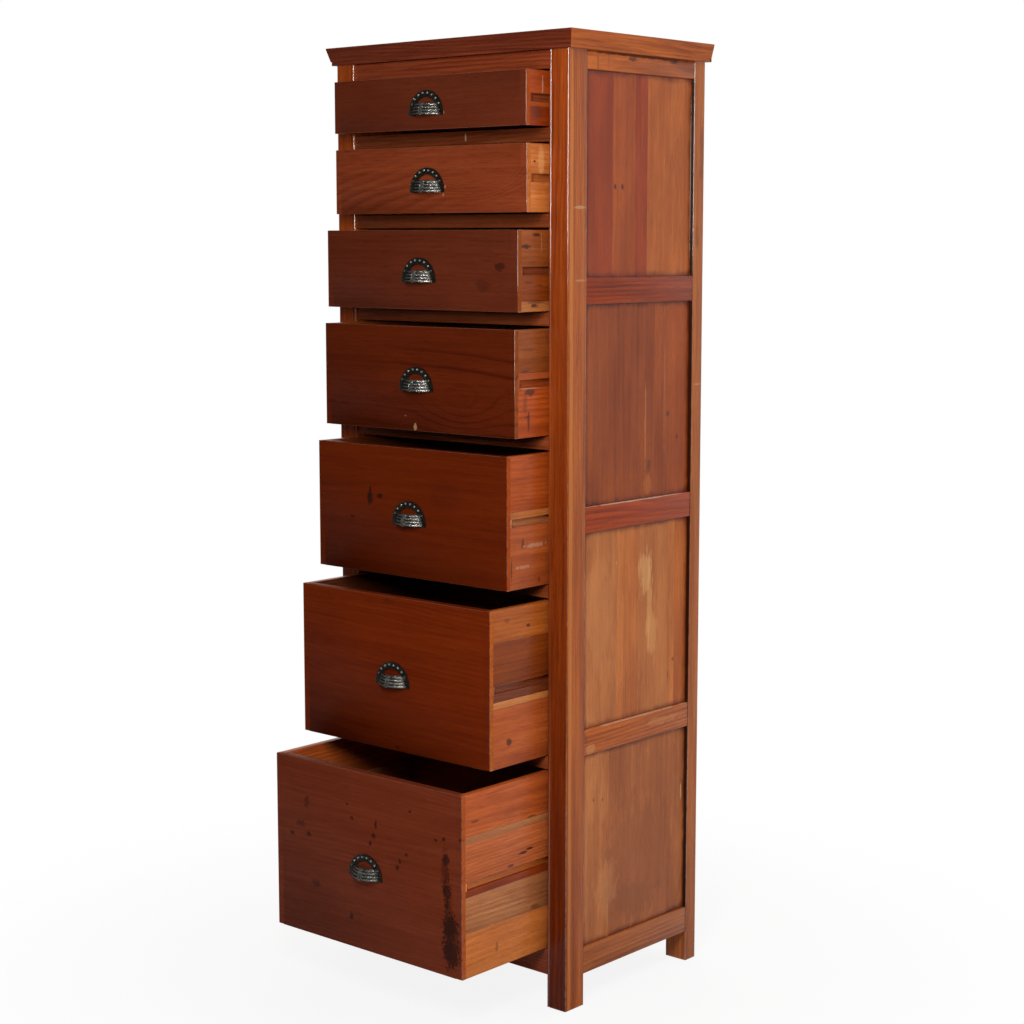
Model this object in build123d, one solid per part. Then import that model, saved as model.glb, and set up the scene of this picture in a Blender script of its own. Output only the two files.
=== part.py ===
from build123d import *
import math
import os

# Tall floor-standing chest of seven graduated drawers, in millimetres.
# +X is the chest's right as seen from the front, -Y is its front and +Z is up.
# Every drawer is drawn as far out as the chest is shown, and slides along Y on two wooden runners.

os.makedirs("parts", exist_ok=True)

# Carcass
carcass_width = 604.0
carcass_depth = 420.0
foot_height = 62.0
front_post_width = 47.0
front_post_depth = 55.0
rear_post_width = 50.0
rear_post_depth = 34.0
post_bead_width = 6.0
post_bead_radius = 3.0
post_corner_width = 3.0
post_corner_radius = 2.5
post_quirk_width = 1.4
post_quirk_depth = 1.6
post_lip_radius = 1.2
rear_arris_radius = 3.0
panel_arris_radius = 2.0

# Front rails
bottom_rail_height = 52.0
top_rail_height = 34.0
divider_height = 26.0
front_rail_depth = 46.0
front_rail_setback = 5.0
front_rail_arris = 2.0
front_tenon_shoulder = 7.0

# Framed sides and back
side_rail_height = 49.0
side_rail_thickness = 24.0
back_rail_height = 49.0
back_rail_thickness = 18.0
rail_setback = 1.0
rail_arris = 1.2
side_panel_count = 4
back_panel_count = 2
panel_thickness = 8.0
panel_recess = 7.5
panel_groove = 8.0
tenon_length = 20.0
tenon_thickness = 10.0
tenon_shoulder = 10.0

# Cornice and top
cornice_height = 34.0
cornice_width = 60.0
cornice_side_overhang = 18.0
cornice_front_overhang = 14.0
cornice_rear_overhang = 5.0
cornice_splay = 7.5
cornice_step = 1.5
cornice_fillet_height = 7.0
cornice_arris = 1.5
top_panel_thickness = 14.0
top_panel_rebate = 10.0

# Drawer heights from the top down
drawer_1_height = 100.0
drawer_2_height = 125.0
drawer_3_height = 150.0
drawer_4_height = 200.0
drawer_5_height = 250.0
drawer_6_height = 300.0
drawer_7_height = 350.0

# How far each drawer front stands out from the front of the posts
drawer_1_out = 57.5
drawer_2_out = 55.5
drawer_3_out = 80.5
drawer_4_out = 89.0
drawer_5_out = 111.0
drawer_6_out = 159.0
drawer_7_out = 236.5

# Drawer box
drawer_front_thickness = 18.0
drawer_front_lap = 10.0
drawer_front_arris = 1.8
drawer_side_thickness = 14.0
drawer_back_thickness = 14.0
drawer_bottom_thickness = 6.0
drawer_bottom_groove = 6.0
drawer_bottom_lift = 8.0
drawer_edge_arris = 1.0
drawer_closed_setback = 4.0
drawer_rear_gap = 16.0
runner_groove_height = 15.0
runner_groove_depth = 8.0
runner_groove_stop = 8.0

# Half-moon pull
pull_width = 88.0
pull_height = 47.0
pull_plate = 3.0
pull_rim = 13.0
pull_reach = 19.0
pull_edge_arris = 0.8
drawer_7_pull_drop = 7.0
strap_width = 76.0
strap_height = 23.0
strap_thickness = 3.0
strap_lean = 6.0
rib_count = 4
rib_height = 3.0
rib_reach = 1.0
clasp_width = 9.0
clasp_reach = 1.6
bead_count = 8
bead_radius = 3.4
bead_inset = 5.0
bead_sink = 0.8
first_bead_share = 0.155
screw_bead = 1

# Screws
screw_shank_radius = 2.0
screw_head_radius = 4.0
screw_head_height = 2.5
pull_screw_bite = 3.5
runner_screw_bite = 20.0

# Clearances
drawer_side_gap = 5.0
drawer_gap_above = 4.0
drawer_gap_below = 2.0
runner_gap_above = 0.3
runner_gap_below = 1.2
runner_gap_inside = 1.0
runner_end_gap = 0.5
joint_gap = 0.2
panel_gap = 0.25
screw_gap = 0.25
head_sink = 0.5
cut_overrun = 2.0
edge_match = 0.01

# Heights up the front, from the bottom rail to the top of the cornice
drawer_heights = [
    drawer_1_height,
    drawer_2_height,
    drawer_3_height,
    drawer_4_height,
    drawer_5_height,
    drawer_6_height,
    drawer_7_height,
]
drawer_outs = [
    drawer_1_out,
    drawer_2_out,
    drawer_3_out,
    drawer_4_out,
    drawer_5_out,
    drawer_6_out,
    drawer_7_out,
]
drawer_count = len(drawer_heights)
opening_heights = [height + drawer_gap_above + drawer_gap_below for height in drawer_heights]
bottom_rail_top = foot_height + bottom_rail_height
carcass_top = bottom_rail_top + sum(opening_heights) + (drawer_count - 1) * divider_height + top_rail_height
cornice_top = carcass_top + cornice_height


def opening_bottom(index):
    below = range(index + 1, drawer_count)
    return bottom_rail_top + sum(opening_heights[i] + divider_height for i in below)


def drawer_bottom(index):
    return opening_bottom(index) + drawer_gap_below


# Widths across the front
half_width = carcass_width / 2
post_inner = half_width - front_post_width
rear_inner = half_width - rear_post_width
drawer_half = post_inner - drawer_side_gap

# Depths from the front of the posts
front_rail_back = front_rail_setback + front_rail_depth
side_front = front_post_depth
side_rear = carcass_depth - rear_post_depth
back_rail_rear = carcass_depth - rail_setback
back_rail_front = back_rail_rear - back_rail_thickness
drawer_length = back_rail_front - drawer_rear_gap - drawer_closed_setback
runner_front = drawer_closed_setback + drawer_front_thickness + runner_groove_stop + runner_end_gap
runner_rear = back_rail_front - runner_end_gap

# The frame's origin is on the floor, under the middle of the whole chest as it stands with its drawers out
pull_front = pull_reach + clasp_reach
frontmost = -max(drawer_outs) - pull_front
rearmost = carcass_depth + cornice_rear_overhang
to_frame = Pos(0, -(frontmost + rearmost) / 2, 0)

subparts = {}


def block(x_span, y_span, z_span):
    low = [min(span) for span in (x_span, y_span, z_span)]
    high = [max(span) for span in (x_span, y_span, z_span)]
    sizes = [b - a for a, b in zip(low, high)]
    middle = [(a + b) / 2 for a, b in zip(low, high)]
    return Pos(*middle) * Box(*sizes)


def grown(span, extra):
    return (min(span) - extra, max(span) + extra)


def shrunk(span, less):
    return (min(span) + less, max(span) - less)


def edges_at(solid, axis, **place):
    chosen = solid.edges().filter_by(axis)
    for name, value in place.items():
        chosen = chosen.filter_by(lambda edge: abs(getattr(edge.center(), name) - value) < edge_match)
    return chosen


def rod(start, along, radius, length):
    return Plane(origin=start, z_dir=along) * Cylinder(
        radius, length, align=(Align.CENTER, Align.CENTER, Align.MIN)
    )


def add(node, solids):
    subparts[node] = [to_frame * solid for solid in solids]


# Where the rails of the sides and back lie: each is a list of spans in Z, bottom rail first
def rail_spans(panel_count, rail_height):
    # The lowest and highest rails are as tall as those of the front, and the panels share the rest
    top_span = (carcass_top - top_rail_height, carcass_top)
    between = top_span[0] - bottom_rail_top - (panel_count - 1) * rail_height
    step = between / panel_count + rail_height
    lows = [bottom_rail_top + i * step - rail_height for i in range(1, panel_count)]
    return [(foot_height, bottom_rail_top), *[(low, low + rail_height) for low in lows], top_span]


side_rail_spans = rail_spans(side_panel_count, side_rail_height)
back_rail_spans = rail_spans(back_panel_count, back_rail_height)


def panel_spans(spans):
    return [(lower[1], upper[0]) for lower, upper in zip(spans, spans[1:])]


divider_spans = [
    (opening_bottom(i) - divider_height, opening_bottom(i)) for i in range(drawer_count - 1)
]
front_rail_spans = [
    (carcass_top - top_rail_height, carcass_top),
    *divider_spans,
    (foot_height, bottom_rail_top),
]
front_tenon_y = shrunk((front_rail_setback, front_rail_back), front_tenon_shoulder)

# The panels, their grooves and the tenons of the rails share one plane on each side
panel_out = half_width - panel_recess
panel_x = (panel_out - panel_thickness, panel_out)
back_panel_y = (carcass_depth - panel_recess - panel_thickness, carcass_depth - panel_recess)


def tenon_span(panel_span):
    middle = sum(panel_span) / 2
    return (middle - tenon_thickness / 2, middle + tenon_thickness / 2)


side_tenon_x = tenon_span(panel_x)
back_tenon_y = tenon_span(back_panel_y)


# Runner heights and the screws that hold the runners to the posts
def runner_top(index):
    middle = drawer_bottom(index) + drawer_heights[index] / 2
    return middle + runner_groove_height / 2 - runner_gap_above


runner_height = runner_groove_height - runner_gap_above - runner_gap_below
runner_inner = drawer_half - runner_groove_depth + runner_gap_inside
front_screw_y = (runner_front + front_post_depth) / 2
rear_screw_y = (side_rear + runner_rear) / 2


def runner_screw(index, side, y, wall):
    z = runner_top(index) - runner_height / 2
    seat = runner_inner + head_sink + screw_head_height
    outward = (side, 0, 0)
    head = rod((side * seat, y, z), (-side, 0, 0), screw_head_radius, screw_head_height)
    shank = rod((side * seat, y, z), outward, screw_shank_radius, wall + runner_screw_bite - seat)
    return head + shank


def runner_screw_hole(index, side, y, wall):
    z = runner_top(index) - runner_height / 2
    seat = runner_inner + head_sink + screw_head_height
    sink_start = runner_inner - cut_overrun
    sink = rod((side * sink_start, y, z), (side, 0, 0), screw_head_radius + screw_gap, seat - sink_start)
    hole_length = wall + runner_screw_bite + screw_gap - seat
    return sink + rod((side * seat, y, z), (side, 0, 0), screw_shank_radius + screw_gap, hole_length)


def front_post(side):
    outer = side * half_width
    inner = side * post_inner
    post = block((inner, outer), (0, front_post_depth), (0, carcass_top))
    post = fillet(edges_at(post, Axis.Z, X=inner, Y=0), post_bead_radius)
    post = fillet(edges_at(post, Axis.Z, X=outer, Y=0), post_corner_radius)
    post = fillet(edges_at(post, Axis.Z, X=outer, Y=front_post_depth), panel_arris_radius)
    # One quirk behind the bead on the front's inner edge, one on the side behind the outer corner
    bead_x = inner + side * post_bead_width
    quirk_z = (-cut_overrun, carcass_top + cut_overrun)
    post -= block((bead_x, bead_x + side * post_quirk_width), (-cut_overrun, post_quirk_depth), quirk_z)
    post -= block(
        (outer - side * post_quirk_depth, outer + side * cut_overrun),
        (post_corner_width, post_corner_width + post_quirk_width),
        quirk_z,
    )
    post = fillet(edges_at(post, Axis.Z, X=bead_x, Y=0), post_lip_radius)
    post = fillet(edges_at(post, Axis.Z, X=outer, Y=post_corner_width + post_quirk_width), post_lip_radius)
    mortise_x = (inner - side * cut_overrun, inner + side * (tenon_length + joint_gap))
    for span in front_rail_spans:
        mortise_z = grown(shrunk(span, front_tenon_shoulder), joint_gap)
        post -= block(mortise_x, grown(front_tenon_y, joint_gap), mortise_z)
    post = cut_side_joints(post, side, side_front, -1)
    for index in range(drawer_count):
        post -= runner_screw_hole(index, side, front_screw_y, post_inner)
    return post


def cut_side_joints(post, side, face, inward):
    mortise_y = (face - inward * cut_overrun, face + inward * (tenon_length + joint_gap))
    tenon_x = [side * x for x in grown(side_tenon_x, joint_gap)]
    for span in side_rail_spans:
        post -= block(tenon_x, mortise_y, grown(shrunk(span, tenon_shoulder), joint_gap))
    groove_y = (face - inward * cut_overrun, face + inward * panel_groove)
    groove_x = [side * x for x in grown(panel_x, panel_gap)]
    for span in panel_spans(side_rail_spans):
        post -= block(groove_x, groove_y, grown(span, panel_groove))
    return post


def rear_post(side):
    outer = side * half_width
    inner = side * rear_inner
    post = block((inner, outer), (side_rear, carcass_depth), (0, carcass_top))
    post = fillet(edges_at(post, Axis.Z, X=outer, Y=carcass_depth), rear_arris_radius)
    post = fillet(edges_at(post, Axis.Z, X=outer, Y=side_rear), panel_arris_radius)
    post = cut_side_joints(post, side, side_rear, 1)
    mortise_x = (inner - side * cut_overrun, inner + side * (tenon_length + joint_gap))
    for span in back_rail_spans:
        mortise_z = grown(shrunk(span, tenon_shoulder), joint_gap)
        post -= block(mortise_x, grown(back_tenon_y, joint_gap), mortise_z)
    groove_x = (inner - side * cut_overrun, inner + side * panel_groove)
    for span in panel_spans(back_rail_spans):
        post -= block(groove_x, grown(back_panel_y, panel_gap), grown(span, panel_groove))
    for index in range(drawer_count):
        post -= runner_screw_hole(index, side, rear_screw_y, rear_inner)
    return post


def side_rail(side, level):
    span = side_rail_spans[level]
    outer = half_width - rail_setback
    x_span = [side * x for x in (outer - side_rail_thickness, outer)]
    rail = block(x_span, (side_front, side_rear), span)
    rail = fillet(edges_at(rail, Axis.Y, X=side * outer), rail_arris)
    groove_x = [side * x for x in grown(panel_x, panel_gap)]
    groove_y = grown((side_front, side_rear), cut_overrun)
    if level > 0:
        rail -= block(groove_x, groove_y, (span[0] - cut_overrun, span[0] + panel_groove))
    if level < side_panel_count:
        rail -= block(groove_x, groove_y, (span[1] - panel_groove, span[1] + cut_overrun))
    tenon_x = [side * x for x in side_tenon_x]
    tenon_z = shrunk(span, tenon_shoulder)
    return rail + block(tenon_x, grown((side_front, side_rear), tenon_length), tenon_z)


def side_panel(side, span):
    reach = panel_groove - panel_gap
    x_span = [side * x for x in panel_x]
    return block(x_span, grown((side_front, side_rear), reach), grown(span, reach))


def back_rail(level):
    span = back_rail_spans[level]
    rail = block((-rear_inner, rear_inner), (back_rail_front, back_rail_rear), span)
    rail = fillet(edges_at(rail, Axis.X, Y=back_rail_rear), rail_arris)
    groove_x = grown((-rear_inner, rear_inner), cut_overrun)
    groove_y = grown(back_panel_y, panel_gap)
    if level > 0:
        rail -= block(groove_x, groove_y, (span[0] - cut_overrun, span[0] + panel_groove))
    if level < back_panel_count:
        rail -= block(groove_x, groove_y, (span[1] - panel_groove, span[1] + cut_overrun))
    tenon_z = shrunk(span, tenon_shoulder)
    return rail + block(grown((-rear_inner, rear_inner), tenon_length), back_tenon_y, tenon_z)


def back_panel(span):
    reach = panel_groove - panel_gap
    return block(grown((-rear_inner, rear_inner), reach), back_panel_y, grown(span, reach))


def front_rail(span):
    rail = block((-post_inner, post_inner), (front_rail_setback, front_rail_back), span)
    rail = fillet(edges_at(rail, Axis.X, Y=front_rail_setback), front_rail_arris)
    tenon_z = shrunk(span, front_tenon_shoulder)
    return rail + block(grown((-post_inner, post_inner), tenon_length), front_tenon_y, tenon_z)


# The cornice is a mitred frame with a splayed face, rebated inside for the top panel
cornice_right = half_width + cornice_side_overhang
cornice_front_y = -cornice_front_overhang
cornice_rear_y = carcass_depth + cornice_rear_overhang
inner_right = cornice_right - cornice_width
inner_front_y = cornice_front_y + cornice_width
inner_rear_y = cornice_rear_y - cornice_width


def cornice_profile(plane):
    # Measured inwards from the outer top edge and upwards from the top of the carcass
    splay_foot = cornice_splay
    band = cornice_splay + cornice_step
    outline = [
        (cornice_width, 0),
        (band, 0),
        (band, cornice_fillet_height),
        (splay_foot, cornice_fillet_height),
        (0, cornice_height),
        (cornice_width - top_panel_rebate, cornice_height),
        (cornice_width - top_panel_rebate, cornice_height - top_panel_thickness),
        (cornice_width, cornice_height - top_panel_thickness),
    ]
    section = make_face(Polyline(*outline, close=True))
    worn = [v for v in section.vertices() if v.X < band - edge_match and v.Y > cornice_fillet_height]
    return plane * fillet(worn, cornice_arris)


def plan(points):
    return extrude(Pos(0, 0, carcass_top) * make_face(Polyline(*points, close=True)), cornice_height)


def cornice_strips():
    front_plan = plan([
        (-cornice_right, cornice_front_y),
        (cornice_right, cornice_front_y),
        (inner_right, inner_front_y),
        (-inner_right, inner_front_y),
    ])
    front_plane = Plane(
        origin=(-cornice_right, cornice_front_y, carcass_top), x_dir=(0, 1, 0), z_dir=(1, 0, 0)
    )
    strips = [extrude(cornice_profile(front_plane), 2 * cornice_right) & front_plan]
    for side in (-1, 1):
        side_plan = plan([
            (side * cornice_right, cornice_front_y),
            (side * cornice_right, cornice_rear_y),
            (side * inner_right, cornice_rear_y),
            (side * inner_right, inner_front_y),
        ])
        start = cornice_front_y if side > 0 else cornice_rear_y
        side_plane = Plane(
            origin=(side * cornice_right, start, carcass_top), x_dir=(-side, 0, 0), z_dir=(0, side, 0)
        )
        strips.append(extrude(cornice_profile(side_plane), cornice_rear_y - cornice_front_y) & side_plan)
    rear = block((-inner_right, inner_right), (inner_rear_y, cornice_rear_y), (carcass_top, cornice_top))
    rear -= block(
        grown((-inner_right, inner_right), cut_overrun),
        (inner_rear_y - cut_overrun, inner_rear_y + top_panel_rebate),
        (cornice_top - top_panel_thickness, cornice_top + cut_overrun),
    )
    # Its top laps over the rebates of the side strips and closes them at the rear
    rear += block(
        grown((-inner_right, inner_right), top_panel_rebate),
        (inner_rear_y + top_panel_rebate, cornice_rear_y),
        (cornice_top - top_panel_thickness, cornice_top),
    )
    strips.append(rear)
    return strips


def top_panel():
    reach = top_panel_rebate - panel_gap
    return block(
        grown((-inner_right, inner_right), reach),
        grown((inner_front_y, inner_rear_y), reach),
        (cornice_top - top_panel_thickness, cornice_top),
    )


def runner(index, side):
    z_span = (runner_top(index) - runner_height, runner_top(index))
    on_front_post = block((side * runner_inner, side * post_inner), (runner_front, side_rear), z_span)
    on_rear_post = block((side * runner_inner, side * rear_inner), (side_rear, runner_rear), z_span)
    batten = on_front_post + on_rear_post
    batten -= runner_screw_hole(index, side, front_screw_y, post_inner)
    return batten - runner_screw_hole(index, side, rear_screw_y, rear_inner)


# Drawer pieces are placed from the front face of their own drawer
def drawer_front_y(index):
    return -drawer_outs[index]


def side_inner():
    return drawer_half - drawer_side_thickness


def bottom_slot(index):
    low = drawer_bottom(index) + drawer_bottom_lift
    return (low, low + drawer_bottom_thickness)


def bottom_groove(index, extra):
    y = drawer_front_y(index)
    inside_y = (y + drawer_front_thickness, y + drawer_length - drawer_back_thickness)
    inside_x = (-side_inner(), side_inner())
    return grown(inside_x, extra), grown(inside_y, extra)


def groove_cut(index):
    x_span, y_span = bottom_groove(index, drawer_bottom_groove)
    return block(x_span, y_span, grown(bottom_slot(index), panel_gap))


def drawer_z(index):
    return (drawer_bottom(index), drawer_bottom(index) + drawer_heights[index])


def drawer_front(index):
    y = drawer_front_y(index)
    z_span = drawer_z(index)
    board = block((-drawer_half, drawer_half), (y, y + drawer_front_thickness), z_span)
    board = fillet(board.faces().sort_by(Axis.Y)[0].edges(), drawer_front_arris)
    rebate_y = (y + drawer_front_lap, y + drawer_front_thickness + cut_overrun)
    for side in (-1, 1):
        rebate_x = (side * side_inner(), side * (drawer_half + cut_overrun))
        board -= block(rebate_x, rebate_y, grown(z_span, cut_overrun))
        x, z = pull_screw_place(index, side)
        start = (x, y - cut_overrun, z)
        through = drawer_front_thickness + 2 * cut_overrun
        board -= rod(start, (0, 1, 0), screw_shank_radius + screw_gap, through)
    return board - groove_cut(index)


def drawer_side(index, side):
    y = drawer_front_y(index)
    inner = side * side_inner()
    outer = side * drawer_half
    board = block((inner, outer), (y + drawer_front_lap, y + drawer_length), drawer_z(index))
    board = fillet(edges_at(board, Axis.Y, Z=max(drawer_z(index))), drawer_edge_arris)
    middle = drawer_bottom(index) + drawer_heights[index] / 2
    groove_start = y + drawer_front_thickness + runner_groove_stop
    board -= block(
        (outer - side * runner_groove_depth, outer + side * cut_overrun),
        (groove_start, y + drawer_length + cut_overrun),
        (middle - runner_groove_height / 2, middle + runner_groove_height / 2),
    )
    return board - groove_cut(index)


def drawer_back(index):
    y = drawer_front_y(index) + drawer_length
    board = block((-side_inner(), side_inner()), (y - drawer_back_thickness, y), drawer_z(index))
    board = fillet(edges_at(board, Axis.X, Z=max(drawer_z(index))), drawer_edge_arris)
    return board - groove_cut(index)


def drawer_bottom_panel(index):
    x_span, y_span = bottom_groove(index, drawer_bottom_groove - panel_gap)
    return block(x_span, y_span, bottom_slot(index))


# The pull is drawn on its own, with its back at Y = 0 and its bottom edge at Z = 0
arch_radius = pull_width / 2
arch_centre = pull_height - arch_radius
bead_ring = arch_radius - bead_inset


def bead_place(number):
    turn_share = first_bead_share + (1 - 2 * first_bead_share) * number / (bead_count - 1)
    angle = math.pi * turn_share
    return bead_ring * math.cos(angle), arch_centre + bead_ring * math.sin(angle)


def pull_low(index):
    # The pull is at the middle of the front, a little lower on the lowest drawer
    drop = drawer_7_pull_drop if index == drawer_count - 1 else 0
    return drawer_bottom(index) + (drawer_heights[index] - pull_height) / 2 - drop


def pull_screw_place(index, side):
    x, z = bead_place(screw_bead)
    return side * x, pull_low(index) + z


def strap_set_back(z):
    return strap_lean * z / strap_height


def bow(proud, low, high):
    # A leaning band that bows forward from one side of the arch to the other, rooted in the plate
    radius = ((strap_width / 2) ** 2 + pull_reach**2) / (2 * pull_reach)
    centre = radius - pull_reach
    low_radius = radius - strap_set_back(low)
    high_radius = radius - strap_set_back(high)
    outline = [
        (low_radius + proud, low),
        (high_radius + proud, high),
        (high_radius - strap_thickness, high),
        (low_radius - strap_thickness, low),
    ]
    section = Plane.XZ * make_face(Polyline(*outline, close=True))
    band = Pos(0, centre, 0) * revolve(section, Axis.Z)
    in_front = (-pull_width, -pull_plate / 2)
    return band & block((-pull_width, pull_width), in_front, grown((low, high), cut_overrun))


def clasp():
    front = -pull_reach - clasp_reach
    back = -pull_reach + strap_thickness / 2
    lean = strap_set_back(strap_height)
    outline = [(front, 0), (front + lean, strap_height), (back + lean, strap_height), (back, 0)]
    return extrude(Plane.YZ * make_face(Polyline(*outline, close=True)), clasp_width / 2, both=True)


def arch_plate():
    outer = Pos(0, arch_centre) * Circle(arch_radius) + Pos(0, arch_centre / 2) * Rectangle(
        pull_width, arch_centre
    )
    inner_radius = arch_radius - pull_rim
    hole = Pos(0, arch_centre) * Circle(inner_radius) + Pos(0, -arch_radius / 2) * Rectangle(
        2 * inner_radius, arch_radius + 2 * arch_centre
    )
    above = Pos(0, pull_height / 2) * Rectangle(pull_width, pull_height)
    plate = extrude(Plane.XZ * ((outer - hole) & above), pull_plate)
    rim_edges = [e for e in plate.faces().sort_by(Axis.Y)[0].edges() if e.geom_type == GeomType.CIRCLE]
    return fillet(rim_edges, pull_edge_arris)


def make_pull():
    pull = arch_plate() + bow(0, 0, strap_height)
    rib_step = strap_height / rib_count
    for i in range(rib_count):
        low = (i + 1 / 2) * rib_step - rib_height / 2
        pull += bow(rib_reach, low, low + rib_height)
    pull += clasp()
    before_plate = block(
        (-pull_width, pull_width), (-pull_reach, -pull_plate / 2), (-pull_height, 2 * pull_height)
    )
    for number in range(bead_count):
        x, z = bead_place(number)
        pull += Pos(x, bead_sink - pull_plate, z) * Sphere(bead_radius) & before_plate
    x, z = bead_place(screw_bead)
    hole_length = pull_screw_bite + screw_gap + cut_overrun
    for side in (-1, 1):
        start = (side * x, cut_overrun, z)
        pull -= rod(start, (0, -1, 0), screw_shank_radius + screw_gap, hole_length)
    return pull


def pull_screw(index, side):
    x, z = pull_screw_place(index, side)
    seat = drawer_front_y(index) + drawer_front_thickness
    head = rod((x, seat, z), (0, 1, 0), screw_head_radius, screw_head_height)
    shank = rod((x, seat, z), (0, -1, 0), screw_shank_radius, drawer_front_thickness + pull_screw_bite)
    return head + shank


def add_carcass():
    for side, name in ((-1, "left"), (1, "right")):
        add(f"front_{name}_post", [front_post(side)])
        add(f"rear_{name}_post", [rear_post(side)])
        add(f"{name}_side_rails", [side_rail(side, level) for level in range(side_panel_count + 1)])
        add(f"{name}_side_panels", [side_panel(side, span) for span in panel_spans(side_rail_spans)])
        add(f"{name}_runners", [runner(index, side) for index in range(drawer_count)])
    add("front_top_rail", [front_rail(front_rail_spans[0])])
    add("drawer_dividers", [front_rail(span) for span in divider_spans])
    add("front_bottom_rail", [front_rail(front_rail_spans[-1])])
    add("back_rails", [back_rail(level) for level in range(back_panel_count + 1)])
    add("back_panels", [back_panel(span) for span in panel_spans(back_rail_spans)])
    add("cornice", cornice_strips())
    add("top_panel", [top_panel()])
    screws = []
    for index in range(drawer_count):
        for side in (-1, 1):
            screws.append(runner_screw(index, side, front_screw_y, post_inner))
            screws.append(runner_screw(index, side, rear_screw_y, rear_inner))
    add("runner_screws", screws)


def add_drawers():
    pull = make_pull()
    for index in range(drawer_count):
        name = f"drawer_{index + 1}"
        add(f"{name}_front", [drawer_front(index)])
        add(f"{name}_sides", [drawer_side(index, side) for side in (-1, 1)])
        add(f"{name}_back", [drawer_back(index)])
        add(f"{name}_bottom", [drawer_bottom_panel(index)])
        add(f"{name}_pull", [Pos(0, drawer_front_y(index), pull_low(index)) * pull])
        add(f"{name}_pull_screws", [pull_screw(index, side) for side in (-1, 1)])


add_carcass()
add_drawers()
for node, solids in subparts.items():
    export_step(solids[0] if len(solids) == 1 else Compound(children=solids), f"parts/{node}.step")
print(len(subparts), "nodes,", round(cornice_top), "mm tall")
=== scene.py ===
import math
from functools import partial

import bpy
from mathutils import Matrix, Vector


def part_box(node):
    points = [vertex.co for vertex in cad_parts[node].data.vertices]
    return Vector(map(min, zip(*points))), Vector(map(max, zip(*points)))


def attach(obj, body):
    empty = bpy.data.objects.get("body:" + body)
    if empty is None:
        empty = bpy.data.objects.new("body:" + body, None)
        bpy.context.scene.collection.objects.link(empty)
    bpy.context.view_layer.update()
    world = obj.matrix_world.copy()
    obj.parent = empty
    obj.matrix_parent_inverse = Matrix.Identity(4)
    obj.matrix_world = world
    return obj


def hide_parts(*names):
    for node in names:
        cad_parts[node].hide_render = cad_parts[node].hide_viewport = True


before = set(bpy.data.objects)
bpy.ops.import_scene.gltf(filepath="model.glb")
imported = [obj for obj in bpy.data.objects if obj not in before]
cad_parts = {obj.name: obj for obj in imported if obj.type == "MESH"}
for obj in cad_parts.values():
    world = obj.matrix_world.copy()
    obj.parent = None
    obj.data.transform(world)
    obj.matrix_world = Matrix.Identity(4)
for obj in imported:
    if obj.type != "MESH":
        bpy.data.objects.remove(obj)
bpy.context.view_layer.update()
mm = 0.001
tiny = 1e-5  # metres; faces and edges are found by their place to within this
smoothAngle = math.radians(38)
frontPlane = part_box("front_right_post")[0].y  # front of the posts, where depth 0 is
print("frame loaded:", len(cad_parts), "nodes")

# Wood tones as they are under the varnish, linear; the post's foot tone and the near-black gap tone hold painted shade
tones = {
    "oxblood": (0.155, 0.0285, 0.0110),
    "darkRed": (0.130, 0.0175, 0.0038),
    "russet": (0.160, 0.0195, 0.0025),
    "chestnut": (0.300, 0.0560, 0.0180),
    "redwood": (0.520, 0.1050, 0.0190),
    "orangeRed": (0.465, 0.0770, 0.0090),
    "paleOrange": (0.670, 0.1960, 0.0410),
    "plum": (0.360, 0.0470, 0.0035),
    "sienna": (0.370, 0.0680, 0.0060),
    "umber": (0.230, 0.0500, 0.0140),
    "walnut": (0.335, 0.0780, 0.0135),
    "honey": (0.520, 0.1450, 0.0280),
    "ochre": (0.640, 0.2130, 0.0520),
    "drab": (0.570, 0.2050, 0.0680),
    "amber": (0.560, 0.1330, 0.0170),
    "tan": (0.630, 0.1780, 0.0330),
    "wheat": (0.630, 0.2000, 0.0470),
    "copper": (0.590, 0.1400, 0.0345),
    "fawn": (0.475, 0.1320, 0.0300),
    "post": (0.500, 0.1160, 0.0140),
    "postFace": (0.460, 0.0850, 0.0100),
    "postFoot": (0.150, 0.0180, 0.0020),
    "gap": (0.040, 0.0100, 0.0040),
}

# Lengths are in millimetres: across, back from the front of the posts, and up from the floor
chest = {
    "half": 302, "depth": 420, "foot": 62, "top": 1821, "cornice": 34, "frontPost": (47, 55), "rearPost": (50, 34),
    "sideRails": [(62, 114), (495.5, 544.5), (926, 975), (1356.5, 1405.5), (1787, 1821)],
    "backRails": [(62, 114), (926, 975), (1787, 1821)],
    "dividers": [1655, 1498, 1316, 1084, 802, 470],
}
drawer = {
    "half": 250, "inner": 236, "front": 18, "lap": 10, "length": 381, "board": 14, "bottom": (8, 14), "arris": 1.4,
    "groove": 15, "grooveDepth": 8, "grooveStop": 4,
    "heights": [100, 125, 150, 200, 250, 300, 350],
    "lows": [1683, 1526, 1344, 1112, 830, 498, 116],
    "outs": [57.5, 55.5, 80.5, 89, 111, 159, 236.5],
}
sides = ((-1, "left"), (1, "right"))
boardCount = 0
tree = None  # the node tree that the shader helpers add to


def deselect():
    bpy.ops.object.select_all(action="DESELECT")


def choose(piece):
    deselect()
    piece.select_set(True)
    bpy.context.view_layer.objects.active = piece


def inFrame(point):
    x, y, z = point
    return Vector((x * mm, y * mm + frontPlane, z * mm))


def bakePlace(piece):
    bpy.ops.object.transform_apply(location=True, rotation=True, scale=True)
    return piece


def addCube(low, high):
    deselect()
    bpy.ops.mesh.primitive_cube_add(size=1, location=(low + high) / 2)
    cube = bpy.context.object
    cube.scale = high - low
    return bakePlace(cube)


def addBlock(low, high):
    return addCube(inFrame(low), inFrame(high))


def applyModifier(piece, kind, **settings):
    choose(piece)
    step = piece.modifiers.new("step", kind)
    for name, value in settings.items():
        setattr(step, name, value)
    bpy.ops.object.modifier_apply(modifier=step.name)


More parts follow.
